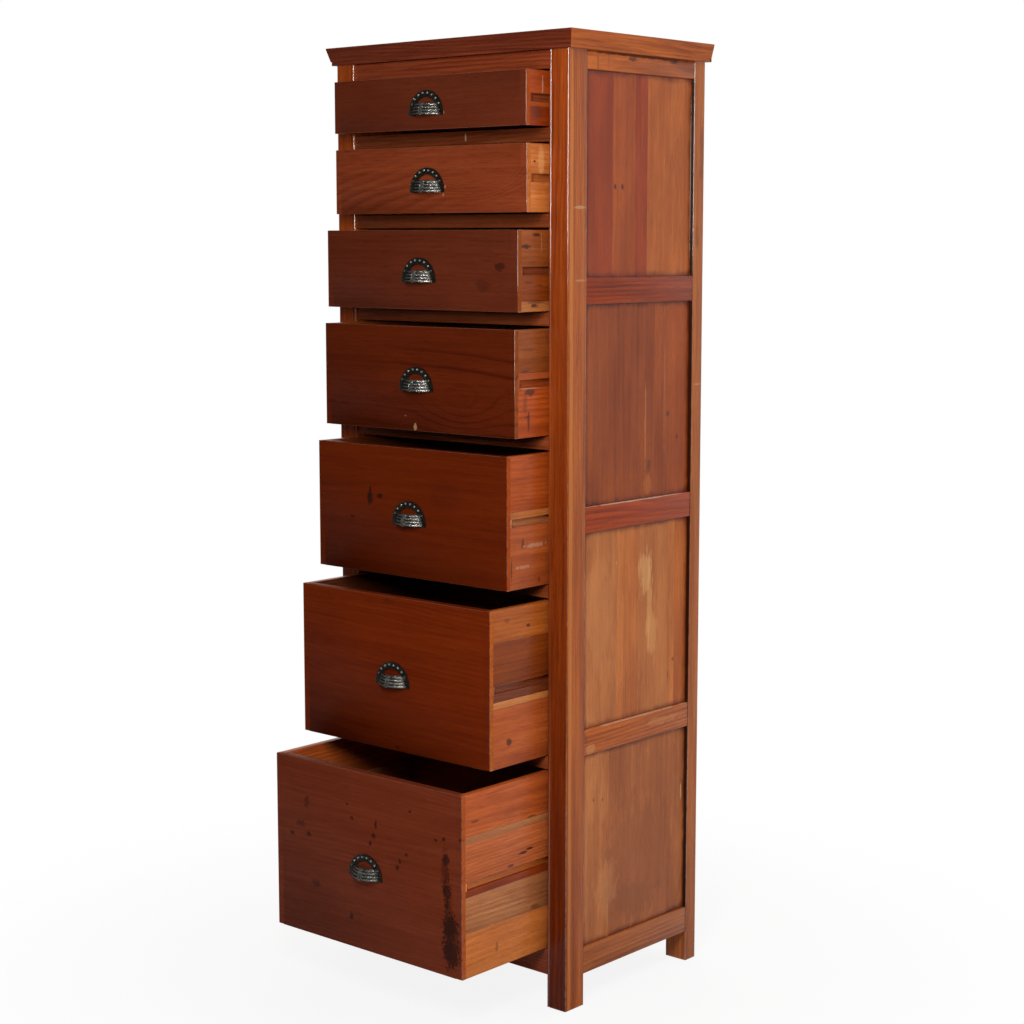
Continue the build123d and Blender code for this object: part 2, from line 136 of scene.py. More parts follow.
def roundEdges(piece, width, segments=2):
    applyModifier(piece, "BEVEL", width=width * mm, segments=segments, limit_method="ANGLE")


def startEdit(piece, kind, test):
    choose(piece)
    bpy.ops.object.mode_set(mode="EDIT")
    bpy.ops.mesh.select_mode(type=kind)
    bpy.ops.mesh.select_all(action="DESELECT")
    bpy.ops.object.mode_set(mode="OBJECT")
    for item in piece.data.polygons if kind == "FACE" else piece.data.edges:
        item.select = bool(test(item))
    bpy.ops.object.mode_set(mode="EDIT")


def leaveEdit():
    bpy.ops.object.mode_set(mode="OBJECT")


def editFaces(piece, test):
    startEdit(piece, "FACE", test)


def editEdges(piece, test):
    spots = piece.data.vertices
    startEdit(piece, "EDGE", lambda edge: test(*[spots[i].co for i in edge.vertices]))


def editAll(piece):
    choose(piece)
    bpy.ops.object.mode_set(mode="EDIT")
    bpy.ops.mesh.select_all(action="SELECT")


def pushFaces(piece, test, move):
    editFaces(piece, test)
    bpy.ops.mesh.extrude_region_move(TRANSFORM_OT_translate={"value": move})
    leaveEdit()


def cutAt(piece, point, normal, **keep):
    editAll(piece)
    bpy.ops.mesh.bisect(plane_co=point, plane_no=normal, **keep)
    leaveEdit()


def cutSquare(piece, axis, *places):
    # Cuts square to one axis of the frame
    normal = [int(letter == axis) for letter in "XYZ"]
    for place in places:
        cutAt(piece, inFrame([n * place for n in normal]), normal)


def roundChosen(piece, test, width, segments):
    editEdges(piece, test)
    bpy.ops.mesh.bevel(offset=width * mm, segments=segments, affect="EDGES")
    leaveEdit()


def roundUpright(piece, x, y, width, segments):
    # One upright corner of a post, found by its place
    place = inFrame((x, y, 0)).xy
    near = 10 * tiny

    def isCorner(a, b):
        return all(abs(p.x - place.x) < near and abs(p.y - place.y) < near for p in (a, b))

    roundChosen(piece, isCorner, width, segments)


def writeLayer(mesh, name, kind, rows):
    layer = mesh.attributes.new(name, kind, "POINT")
    field = "vector" if kind == "FLOAT_VECTOR" else "color"
    layer.data.foreach_set(field, [value for row in rows for value in row])


def tagBoard(board, grain, tone, shade=1.0, low=None, high=None, opening=None):
    # A board carries its distances along, across and through the grain, and its own tone
    global boardCount
    boardCount += 1
    mesh = board.data
    spots = [v.co.copy() for v in mesh.vertices]
    low = inFrame(low) if low else Vector([min(s[i] for s in spots) for i in range(3)])
    high = inFrame(high) if high else Vector([max(s[i] for s in spots) for i in range(3)])
    along = "XYZ".index(grain)
    across, through = sorted((i for i in range(3) if i != along), key=lambda i: low[i] - high[i])
    order = (along, across, through)
    seed = (boardCount * 0.6180339) % 1  # steps of the golden ratio keep neighbours apart
    colour = [c * shade for c in tones[tone]] + [seed]
    writeLayer(mesh, "boardLow", "FLOAT_VECTOR", [[s[i] - low[i] for i in order] for s in spots])
    writeLayer(mesh, "boardHigh", "FLOAT_VECTOR", [[high[i] - s[i] for i in order] for s in spots])
    writeLayer(mesh, "boardTone", "FLOAT_COLOR", [colour for _ in spots])
    if opening:
        axis, start, end, z0, z1 = opening  # the framed opening that a panel shows in
        a, b = inFrame((start, start, z0)), inFrame((end, end, z1))
        rows = [[s[axis] - a[axis], s.z - a.z, b[axis] - s[axis], b.z - s.z] for s in spots]
        writeLayer(mesh, "openEdge", "FLOAT_COLOR", rows)
    return board


def makeBoard(low, high, grain, tone, shade=1.0, arris=0.4, segments=2, opening=None):
    low, high = [min(p) for p in zip(low, high)], [max(p) for p in zip(low, high)]
    board = addBlock(low, high)
    if arris:
        roundEdges(board, arris, segments)
    return tagBoard(board, grain, tone, shade, low, high, opening)


def glueUp(low, high, axis, rows, grain, arris, framed=False):
    # Boards side by side along one axis: where each one ends, its tone and its shade
    opening = (axis, low[axis], high[axis], low[2], high[2]) if framed else None
    boards, start = [], low[axis]
    for end, tone, shade in rows:
        near, far = list(low), list(high)
        near[axis], far[axis] = start, end
        boards.append(makeBoard(near, far, grain, tone, shade, arris, 1, opening))
        start = end
    return boards


def makeRails(low, high, spans, looks, grain, arris, segments):
    # Rails one above another, each with its own tone and shade
    return [
        makeBoard((*low, z0), (*high, z1), grain, tone, shade, arris, segments)
        for (z0, z1), (tone, shade) in zip(spans, looks)
    ]


def shadeFace(board, test, topTone, footTone):
    # A face toned apart from the rest of its board, blended from one tone at the chest's top to another at its foot;
    # on some faces this is painted shade
    layer = board.data.attributes["boardTone"].data
    for spot, value in zip(board.data.vertices, layer):
        if test(spot.co):
            share = spot.co.z / (chest["top"] * mm)
            colour = [a * share + b * (1 - share) for a, b in zip(tones[topTone], tones[footTone])]
            value.color = colour + [value.color[3]]


def joinPieces(name, parts):
    deselect()
    for part in parts:
        part.select_set(True)
    bpy.context.view_layer.objects.active = parts[0]
    if len(parts) > 1:
        bpy.ops.object.join()
    piece = bpy.context.object
    piece.name = name
    piece.data.name = name
    return piece


def finishPiece(parts, node, material, name=None):
    # A piece is called after the node it replaces, and a drawer's node also gives its body
    first, *rest = node.split("_")
    body = f"{first}_{rest[0]}" if rest and rest[0].isdigit() else "carcass"
    piece = joinPieces(name or first + "".join(word.capitalize() for word in rest), parts)
    choose(piece)
    bpy.ops.object.shade_smooth_by_angle(angle=smoothAngle)
    piece.data.materials.clear()
    piece.data.materials.append(material)
    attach(piece, body)
    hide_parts(node)


def startTree(owner):
    global tree
    owner.use_nodes = True
    tree = owner.node_tree
    return tree.nodes


def startMaterial(name):
    material = bpy.data.materials.new(name)
    return material, startTree(material)["Principled BSDF"]


def feed(socket, value):
    if isinstance(value, bpy.types.NodeSocket):
        tree.links.new(value, socket)
        return
    if socket.type == "RGBA" and len(value) == 3:
        value = (*value, 1.0)
    socket.default_value = value


def fill(step, values):
    for name, value in values.items():
        feed(step.inputs[name], value)


def addNode(kind, values=None, **settings):
    step = tree.nodes.new("ShaderNode" + kind)
    for name, value in settings.items():
        setattr(step, name, value)
    fill(step, values or {})
    return step


def calc(operation, *values, kind="Math"):
    step = addNode(kind, dict(enumerate(values)), operation=operation)
    return step.outputs["Value" if kind == "Math" or operation == "LENGTH" else "Vector"]


vectorCalc = partial(calc, kind="VectorMath")
times, plus, minus, scaleAdd, lowest, highest = [
    partial(calc, word) for word in ("MULTIPLY", "ADD", "SUBTRACT", "MULTIPLY_ADD", "MINIMUM", "MAXIMUM")
]


def inverse(value):
    return minus(1.0, value)


def split(vector):
    return addNode("SeparateXYZ", {0: vector}).outputs


def unite(*values):
    return addNode("CombineXYZ", dict(enumerate(values))).outputs[0]


def ramp(value, start, end):
    # Rises smoothly from 0 at start to 1 at end
    values = {"Value": value, "From Min": start, "From Max": end}
    return addNode("MapRange", values, interpolation_type="SMOOTHSTEP").outputs["Result"]


def noise(place, stretch, detail=2.0, roughness=0.5):
    place = vectorCalc("MULTIPLY", place, stretch)
    values = {"Vector": place, "Scale": 1.0, "Detail": detail, "Roughness": roughness}
    return addNode("TexNoise", values).outputs["Fac"]


def mixColour(amount, a, b, blend="MIX"):
    # The colour sockets of this node come after those for other kinds of value
    return addNode("Mix", {0: amount, 6: a, 7: b}, data_type="RGBA", blend_type=blend).outputs[2]


def tint(colour, by):
    return mixColour(1.0, colour, by, "MULTIPLY")


def bumpUp(shader, height, strength, distance):
    bump = addNode("Bump", {"Height": height, "Strength": strength, "Distance": distance})
    feed(shader.inputs["Normal"], bump.outputs["Normal"])


def startGroup(name, inputs, outputs):
    # An input is given by its own value, or by its kind
    global tree
    tree = bpy.data.node_groups.new(name, "ShaderNodeTree")
    for label, value in inputs.items():
        kind = value if isinstance(value, str) else "Float"
        socket = tree.interface.new_socket(label, in_out="INPUT", socket_type="NodeSocket" + kind)
        if kind == "Float":
            socket.default_value = value
    for label in outputs:
        kind = "Color" if label == "Colour" else "Float"
        tree.interface.new_socket(label, in_out="OUTPUT", socket_type="NodeSocket" + kind)
    return tree, tree.nodes.new("NodeGroupInput").outputs, tree.nodes.new("NodeGroupOutput").inputs


def useGroup(group, **values):
    return addNode("Group", values, node_tree=group).outputs


def readLayer(name):
    return addNode("Attribute", attribute_name=name).outputs


def objectPlace():
    return addNode("TexCoord").outputs["Object"]


# Growth rings, streaks, fibres and pores of one board
woodGrain, gin, gout = startGroup(
    "woodGrain",
    {"Place": "Vector", "Seed": 0.0, "RingWidth": 0.006, "Sway": 0.05, "Slant": 0.16, "SwirlAt": "Vector",
     "Swirl": 0.0, "Crisp": 0.15},
    ("Rings", "Streaks", "Fibres", "Pores", "Blotches"),
)
dice = addNode("TexWhiteNoise", {"W": times(gin["Seed"], 91.7)}, noise_dimensions="1D")
luck = split(dice.outputs["Color"])
shift = vectorCalc("SCALE", dice.outputs["Color"])
feed(shift.node.inputs["Scale"], 40.0)
place = vectorCalc("ADD", gin["Place"], shift)
along, across, through = split(gin["Place"])
sway = minus(noise(place, (1.5, 6.0, 6.0), 1.5), 0.5)
ripple = minus(noise(place, (9.0, 34.0, 34.0), 2.0), 0.5)
swayed = scaleAdd(sway, gin["Sway"], across)
swayed = scaleAdd(ripple, 0.006, swayed)
fromSwirl = vectorCalc("DIVIDE", vectorCalc("SUBTRACT", gin["Place"], gin["SwirlAt"]), (0.085, 0.040, 0.200))
swirl = inverse(ramp(vectorCalc("LENGTH", fromSwirl), 0.0, 1.7))
swayed = scaleAdd(swirl, gin["Swirl"], swayed)
pith = scaleAdd(luck[0], 0.5, -0.15)
fromPith = minus(swayed, pith)
depth = plus(through, scaleAdd(luck[1], 0.07, 0.015))
reach = calc("SQRT", plus(times(fromPith, fromPith), times(depth, depth)))
tilt = times(minus(luck[2], 0.5), gin["Slant"])
reach = scaleAdd(along, tilt, reach)
turn = calc("FRACT", calc("DIVIDE", reach, gin["RingWidth"]))
rise = ramp(turn, gin["Crisp"], 0.88)
fall = inverse(ramp(turn, 0.88, 1.0))
patchy = ramp(noise(place, (2.0, 18.0, 18.0), 1.0), 0.3, 0.7)
feed(gout["Rings"], times(times(rise, fall), patchy))
feed(gout["Streaks"], ramp(noise(place, (2.4, 62.0, 62.0), 3.0, 0.6), 0.28, 0.72))
feed(gout["Fibres"], ramp(noise(place, (6.0, 230.0, 230.0), 3.0, 0.6), 0.36, 0.68))
feed(gout["Pores"], ramp(noise(place, (34.0, 700.0, 700.0), 2.0), 0.54, 0.68))
feed(gout["Blotches"], ramp(noise(place, (5.0, 13.0, 13.0), 3.0, 0.55), 0.3, 0.7))

# The tone of a board, darkened and lightened by its figure
woodColour, gin, gout = startGroup(
    "woodColour",
    {"Tone": "Color", "Rings": 0.0, "Streaks": 0.5, "Fibres": 0.5, "Pores": 0.0, "Blotches": 0.5, "Figure": 0.5,
     "Streaking": 0.5, "Lines": 0.6, "Clouds": 0.45},
    ("Colour", "Height"),
)
dark = tint(gin["Tone"], (0.66, 0.55, 0.46))
light = tint(gin["Tone"], (1.30, 1.42, 1.50))
colour = mixColour(gin["Streaking"], gin["Tone"], mixColour(gin["Streaks"], dark, light))
ringTone = tint(colour, (0.55, 0.42, 0.36))
colour = mixColour(times(gin["Rings"], gin["Figure"]), colour, ringTone)
fibreTone = tint(colour, (0.66, 0.56, 0.48))
colour = mixColour(times(gin["Fibres"], gin["Lines"]), colour, fibreTone)
blotchDark = tint(colour, (0.76, 0.69, 0.64))
blotchLight = tint(colour, (1.08, 1.14, 1.20))
colour = mixColour(gin["Clouds"], colour, mixColour(gin["Blotches"], blotchLight, blotchDark))
poreTone = tint(colour, (0.62, 0.55, 0.50))
feed(gout["Colour"], mixColour(times(gin["Pores"], 0.6), colour, poreTone))
height = scaleAdd(gin["Rings"], -0.25, times(gin["Fibres"], -0.3))
feed(gout["Height"], scaleAdd(gin["Pores"], -0.5, height))

# How near a point is to the closest edge of its board, broken up as wear is
edgeWear, gin, gout = startGroup(
    "edgeWear",
    {"Low": "Vector", "High": "Vector", "Seed": 0.0, "Reach": 0.0015},
    ("Worn",),
)
near = split(vectorCalc("MINIMUM", gin["Low"], gin["High"]))
small = lowest(near[0], near[1])
large = highest(near[0], near[1])
second = highest(small, lowest(large, near[2]))
place = vectorCalc("ADD", gin["Low"], unite(times(gin["Seed"], 37.0)))
chips = noise(place, (70.0, 70.0, 70.0), 3.0, 0.6)
reach = times(gin["Reach"], scaleAdd(chips, 2.6, -0.35))
feed(gout["Worn"], inverse(ramp(calc("DIVIDE", second, reach), 0.35, 1.0)))

# A knot, stain or scuff at a chosen place
spotMask, gin, gout = startGroup(
    "spotMask",
    {"Place": "Vector", "Centre": "Vector", "Size": "Vector", "Ragged": 0.5, "Fibre": "Vector"},
    ("Mask",),
)
offset = vectorCalc("DIVIDE", vectorCalc("SUBTRACT", gin["Place"], gin["Centre"]), gin["Size"])
rough = minus(noise(gin["Place"], gin["Fibre"], 3.0, 0.6), 0.5)
reach = scaleAdd(rough, gin["Ragged"], vectorCalc("LENGTH", offset))
feed(gout["Mask"], inverse(ramp(reach, 0.55, 1.0)))

# Painted shade and grime along the edges of a framed opening, rounded in the corners, with a thin line of painted
# shade at the edge
openingShadeAndGrime, gin, gout = startGroup(
    "openingShadeAndGrime",
    {"Low": "Vector", "Far": 1.0, "Place": "Vector", "Reach": 0.02},
    ("Grime",),
)
y0, z0, y1 = split(gin["Low"])
nearY = lowest(y0, y1)
nearZ = lowest(z0, gin["Far"])
overY = highest(minus(gin["Reach"], nearY), 0.0)
overZ = highest(minus(gin["Reach"], nearZ), 0.0)
over = calc("SQRT", plus(times(overY, overY), times(overZ, overZ)))
cloud = noise(gin["Place"], (28.0, 28.0, 28.0), 3.0, 0.6)
over = times(calc("DIVIDE", over, gin["Reach"]), scaleAdd(cloud, 1.3, 0.35))
# A thin line of painted shade right along the edge of the opening
seamShade = inverse(ramp(lowest(nearY, nearZ), 0.0010, 0.0046))
seamShade = times(seamShade, ramp(cloud, 0.20, 0.48))
feed(gout["Grime"], highest(ramp(over, 0.45, 1.15), seamShade))
print("shader groups built")


def spotAt(spot, place):
    return useGroup(
        spotMask, Place=place, Centre=inFrame(spot["at"]), Size=Vector(spot["size"]) * mm, Ragged=spot["ragged"],
        Fibre=spot["fibre"],
    )["Mask"]


def layWood(place, seed, tone, look):
    # What a look leaves out keeps the group's own value
    def chosen(*names):
        keys = {name: name[0].lower() + name[1:] for name in names}
        return {name: look[key] for name, key in keys.items() if key in look}

    shape = chosen("RingWidth", "Sway", "Slant", "SwirlAt", "Swirl", "Crisp")
    grain = useGroup(woodGrain, Place=place, Seed=seed, **shape)
    figure = {name: grain[name] for name in ("Rings", "Streaks", "Fibres", "Pores", "Blotches")}
    wood = useGroup(woodColour, Tone=tone, **figure, **chosen("Figure", "Streaking", "Lines", "Clouds"))
    return grain, wood


def makeWood(name, look, spots=()):
    material, shader = startMaterial(name)
    low, high = readLayer("boardLow")["Vector"], readLayer("boardHigh")["Vector"]
    tone = readLayer("boardTone")
    seed, place = tone["Alpha"], objectPlace()
    grain, wood = layWood(low, seed, tone["Color"], look)
    colour = wood["Colour"]
    # Painted shade and grime where the frame stands proud of a recessed panel
    if "grime" in look:
        opening = readLayer("openEdge")
        grime = useGroup(
            openingShadeAndGrime, Low=opening["Vector"], Far=opening["Alpha"], Place=place, Reach=look["grime"]
        )["Grime"]
        shadeAndGrimeTone = tint(colour, (0.36, 0.24, 0.20))
        colour = mixColour(times(grime, look["grimeAmount"]), colour, shadeAndGrimeTone)
    for spot in spots:
        colour = mixColour(times(spotAt(spot, place), spot["amount"]), colour, spot["tone"])

    def nearArris(reach):
        return useGroup(edgeWear, Low=low, High=high, Seed=seed, Reach=reach * mm)["Worn"]

    worn = nearArris(look["edgeReach"])
    colour = mixColour(times(worn, look["edgeAmount"]), colour, look["edgeTone"])
    rough = look["rough"]
    for mask, amount in ((grain["Blotches"], 0.10), (grain["Fibres"], 0.06), (worn, 0.15)):
        rough = scaleAdd(mask, amount, rough)
    # Varnish left glossy on the rounded arrises, where it catches the lamp
    gloss = nearArris(look["polish"])
    if "polishEnd" in look:
        # Only on the arrises at the two ends of the board
        end = split(vectorCalc("MINIMUM", low, high))[0]
        gloss = times(gloss, inverse(ramp(end, 0.0012, look["polishEnd"] * mm)))
    for spot in look.get("polishSpots", ()):
        gloss = highest(gloss, spotAt(spot, place))
    fill(shader, {
        "Base Color": colour, "Roughness": rough, "Specular IOR Level": look["specular"],
        "Coat Weight": gloss, "Coat Roughness": 0.12, "Coat IOR": 1.9,
    })
    wave = noise(low, (22.0, 55.0, 55.0))
    bumpUp(shader, scaleAdd(wave, 0.8, wood["Height"]), look["bump"], 0.0005)
    return material


def makeRunnerWood():
    # The runners keep their solids, so their grain follows the frame's depth
    material, shader = startMaterial("runnerWood")
    x, y, z = split(objectPlace())
    look = {"ringWidth": 0.007, "sway": 0.03, "figure": 0.5, "streaking": 0.4}
    grain, wood = layWood(unite(y, z, x), 0.37, tones["walnut"], look)
    rough = scaleAdd(grain["Fibres"], 0.15, 0.45)
    fill(shader, {"Base Color": wood["Colour"], "Roughness": rough, "Specular IOR Level": 0.3})
    return material


knotTone = (0.035, 0.009, 0.004)
# Near-black for painted shade under the cornice and by the recessed panels, and for small dark marks
shadeAndSeamTone = (0.045, 0.011, 0.004)
fillerTone = (0.52, 0.29, 0.13)
ink = (0.018, 0.008, 0.006)
# Pale tone for marks on the drawer sides, also used for a painted sheen
paleMarkAndSheen = (0.62, 0.40, 0.28)


def spotOf(at, size, tone=knotTone, amount=0.85, ragged=0.8, fibre=160, fibreUp=160):
    fibre = (fibre, fibre, fibreUp)
    return {"at": at, "size": size, "tone": tone, "amount": amount, "ragged": ragged, "fibre": fibre}


# A row gives a mark's place and size on the face, then what differs from a plain knot
markDepth = {"front": 40, "side": 24}


def frontSpots(y, rows):
    return [spotOf((x, y, z), (wide, markDepth["front"], tall), *rest) for x, z, wide, tall, *rest in rows]


def sideSpots(x, rows):
    return [spotOf((x, y, z), (markDepth["side"], wide, tall), *rest) for y, z, wide, tall, *rest in rows]


frameLook = {
    "ringWidth": 0.0045, "sway": 0.012, "slant": 0.02, "figure": 0.8, "streaking": 0.6, "lines": 0.8, "clouds": 0.4,
    "rough": 0.20, "specular": 0.25, "bump": 0.5, "polish": 2.6,
    "edgeReach": 1.0, "edgeAmount": 0.25, "edgeTone": (0.50, 0.20, 0.09),
}
railLook = dict(frameLook, ringWidth=0.0055, sway=0.03, slant=0.06, edgeAmount=0.3, polish=0.5)
panelLook = dict(
    frameLook, ringWidth=0.014, sway=0.04, figure=0.25, streaking=0.3, lines=0.32, clouds=0.95, rough=0.24,
    grime=0.024, grimeAmount=0.9, edgeReach=0.4, edgeAmount=0.4, edgeTone=(0.12, 0.026, 0.008), polish=0.5,
)
frontLook = dict(
    frameLook, ringWidth=0.009, sway=0.07, slant=0.1, figure=0.4, streaking=0.3, lines=0.35, rough=0.34, specular=0.04,
    edgeReach=0.8, edgeAmount=0.55, edgeTone=(0.34, 0.15, 0.08), polish=1.8, polishEnd=2.6,
)
liningLook = dict(
    frameLook, ringWidth=0.008, sway=0.05, slant=0.08, figure=0.5, streaking=0.45, lines=0.45, clouds=0.8, rough=0.22,
    edgeReach=0.7, edgeAmount=0.6, edgeTone=(0.12, 0.026, 0.009), polish=0.5,
)

runnerWood = makeRunnerWood()
railWood = makeWood("railWood", railLook)
liningWood = makeWood("liningWood", liningLook)

# Front posts: a bead with a fine quirk on the inner edge, and a quirk behind the small outer corner
postShape = {
    "bead": 6.0, "beadRound": 3.0, "beadFlank": 2.7, "corner": 3.0, "cornerRound": 2.5, "quirkWidth": 1.4,
    "quirkDepth": 1.6, "beadQuirk": 2.9, "lip": 1.2, "panelEdge": 2.0, "rearEdge": 3.0,
}


def startPost(side, width, front, rear):
    inner, outer = side * (chest["half"] - width), side * chest["half"]
    low, high = (min(inner, outer), front, 0), (max(inner, outer), rear, chest["top"])
    return addBlock(low, high), inner, outer, low, high


def makeFrontPost(side, tone):
    width, depth = chest["frontPost"]
    post, inner, outer, low, high = startPost(side, width, 0, depth)
    roundUpright(post, inner, 0, postShape["beadRound"], 8)
    roundUpright(post, outer, 0, postShape["cornerRound"], 6)
    roundUpright(post, outer, depth, postShape["panelEdge"], 4)
    beadEnd = inner + side * postShape["bead"]
    quirkEnd = beadEnd + side * postShape["quirkWidth"]
    cornerEnd, lipStart = postShape["corner"], postShape["corner"] + postShape["quirkWidth"]
    cutSquare(post, "X", beadEnd, quirkEnd)
    cutSquare(post, "Y", cornerEnd, lipStart)
    near = 0.4 * mm
    frontQuirk = inFrame(((beadEnd + quirkEnd) / 2, 0, 0))
    move = Vector((0, postShape["beadQuirk"], 0)) * mm
    pushFaces(post, lambda f: abs(f.center.x - frontQuirk.x) < near and f.normal.y < -0.9, move)
    sideQuirk = inFrame((outer, (cornerEnd + lipStart) / 2, 0))
    move = Vector((-side * postShape["quirkDepth"], 0, 0)) * mm
    pushFaces(post, lambda f: (f.center.xy - sideQuirk.xy).length < near and f.normal.x * side > 0.9, move)
    roundUpright(post, beadEnd, 0, postShape["beadFlank"], 8)
    roundUpright(post, outer, lipStart, postShape["lip"], 5)
    return tagBoard(post, "Z", tone, 1.0, low, high)


def makeRearPost(side, tone):
    width, depth = chest["rearPost"]
    front = chest["depth"] - depth
    post, _, outer, low, high = startPost(side, width, front, chest["depth"])
    roundUpright(post, outer, chest["depth"], postShape["rearEdge"], 4)
    roundUpright(post, outer, front, postShape["panelEdge"], 3)
    cutSquare(post, "Z", chest["foot"] - 2, chest["foot"])
    return tagBoard(post, "Z", tone, 1.0, low, high)


postMarksAndShade = sideSpots(302, [
    # A pale strip down the side face just behind the corner quirk; the long dark line at depth 54, by the recessed
    # panel, is painted shade
    (10.5, 910, 6.5, 1500, (0.62, 0.21, 0.040), 0.6, 0.5, 160, 6),
    (54, 1100, 1.5, 1500, shadeAndSeamTone, 0.75, 1.4, 160, 40), (50, 1512, 3.2, 22, shadeAndSeamTone, 0.6, 0.9),
    (49, 1512, 1.8, 14, (0.45, 0.12, 0.03), 0.8, 0.5), (34, 1535, 20, 3.6, fillerTone, 0.8, 0.6),
    (36, 1401, 20, 2.4, fillerTone, 0.55, 0.6), (404, 1190, 14, 2.2, fillerTone, 0.8, 0.5),
    (410, 1640, 9, 60, (0.20, 0.045, 0.010), 0.55, 1.6, 120, 30),
    (398, 1480, 7, 30, (0.22, 0.05, 0.012), 0.5, 1.6, 120, 30),
])
beadShine = frontSpots(1, [(x, 910, 5, 3000, knotTone, 0.85, 0.9, 160, 60) for x in (-257.5, 257.5)])
postWood = makeWood("postWood", dict(frameLook, polishSpots=beadShine), postMarksAndShade)
sideFront, sideRear = chest["frontPost"][1], chest["depth"] - chest["rearPost"][1]
for side, word in sides:
    front = makeFrontPost(side, "post")
    # Painted shade: the front face darkens from its own tone at the top to a near-black foot
    shadeFace(front, lambda p: p.y < frontPlane + 1.5 * mm, "postFace", "postFoot")
    finishPiece([front], f"front_{word}_post", postWood, word + "FrontPost")
    rear = makeRearPost(side, "tan")
    shadeFace(rear, lambda p: True, "tan", "fawn")
    # Painted shade and dark polish in the reveal against the panels, down to the bottom rail
    shadeFace(
        rear, lambda p: p.y < frontPlane + (sideRear + 0.4) * mm and p.z > (chest["foot"] - 1) * mm, "gap", "gap"
    )
    finishPiece([rear], f"rear_{word}_post", postWood, word + "RearPost")
print("posts done")

# Rails of the sides and back, bottom one first
rail = {"inset": 1, "thick": 24, "back": (401, 419), "front": (5, 51), "divider": 26, "arris": 1.2, "frontArris": 2.0}
railTones = [("fawn", 1.0), ("amber", 1.06), ("plum", 1.2), ("plum", 0.96), ("amber", 1.0)]
backRailTones = [("fawn", 0.9), ("amber", 0.9), ("plum", 1.1)]
railMarksAndShade = sideSpots(301, [
    # The dark line along the top of the top rail, under the cornice, is painted shade
    (215, 1819.5, 175, 4.2, shadeAndSeamTone, 0.8, 1.7, 60, 160), (190, 1812, 16, 5, shadeAndSeamTone, 0.75, 1.2),
    (318, 1815, 13, 4, shadeAndSeamTone, 0.8, 1.0), (86, 1800, 3, 24, (0.20, 0.05, 0.012), 0.6, 1.2),
    (118, 1806, 2, 18, (0.20, 0.05, 0.012), 0.5, 1.2), (60, 529, 6, 14, (0.22, 0.05, 0.012), 0.5, 1.4),
    (366, 78, 26, 8, (0.30, 0.08, 0.02), 0.5, 1.4),
    (215, 975, 175, 1.7, (0.80, 0.58, 0.42), 0.65, 1.2, 30, 160),
    (230, 544.5, 160, 1.7, (0.72, 0.46, 0.28), 0.5, 1.5, 40, 160),
    (74, 506, 17, 13, (0.66, 0.29, 0.10), 0.5, 1.7), (300, 524, 70, 9, (0.62, 0.25, 0.08), 0.4, 1.9, 40, 120),
])
sideRailWood = makeWood("sideRailWood", railLook, railMarksAndShade)
for side, word in sides:
    outer = side * (chest["half"] - rail["inset"])
    inner = outer - side * rail["thick"]
    low, high = (inner, sideFront), (outer, sideRear)
    rails = makeRails(low, high, chest["sideRails"], railTones, "Y", rail["arris"], 3)
    finishPiece(rails, f"{word}_side_rails", sideRailWood)
rearInner = chest["half"] - chest["rearPost"][0]
front, rear = rail["back"]
low, high = (-rearInner, front), (rearInner, rear)
rails = makeRails(low, high, chest["backRails"], backRailTones, "X", rail["arris"], 3)
finishPiece(rails, "back_rails", railWood)

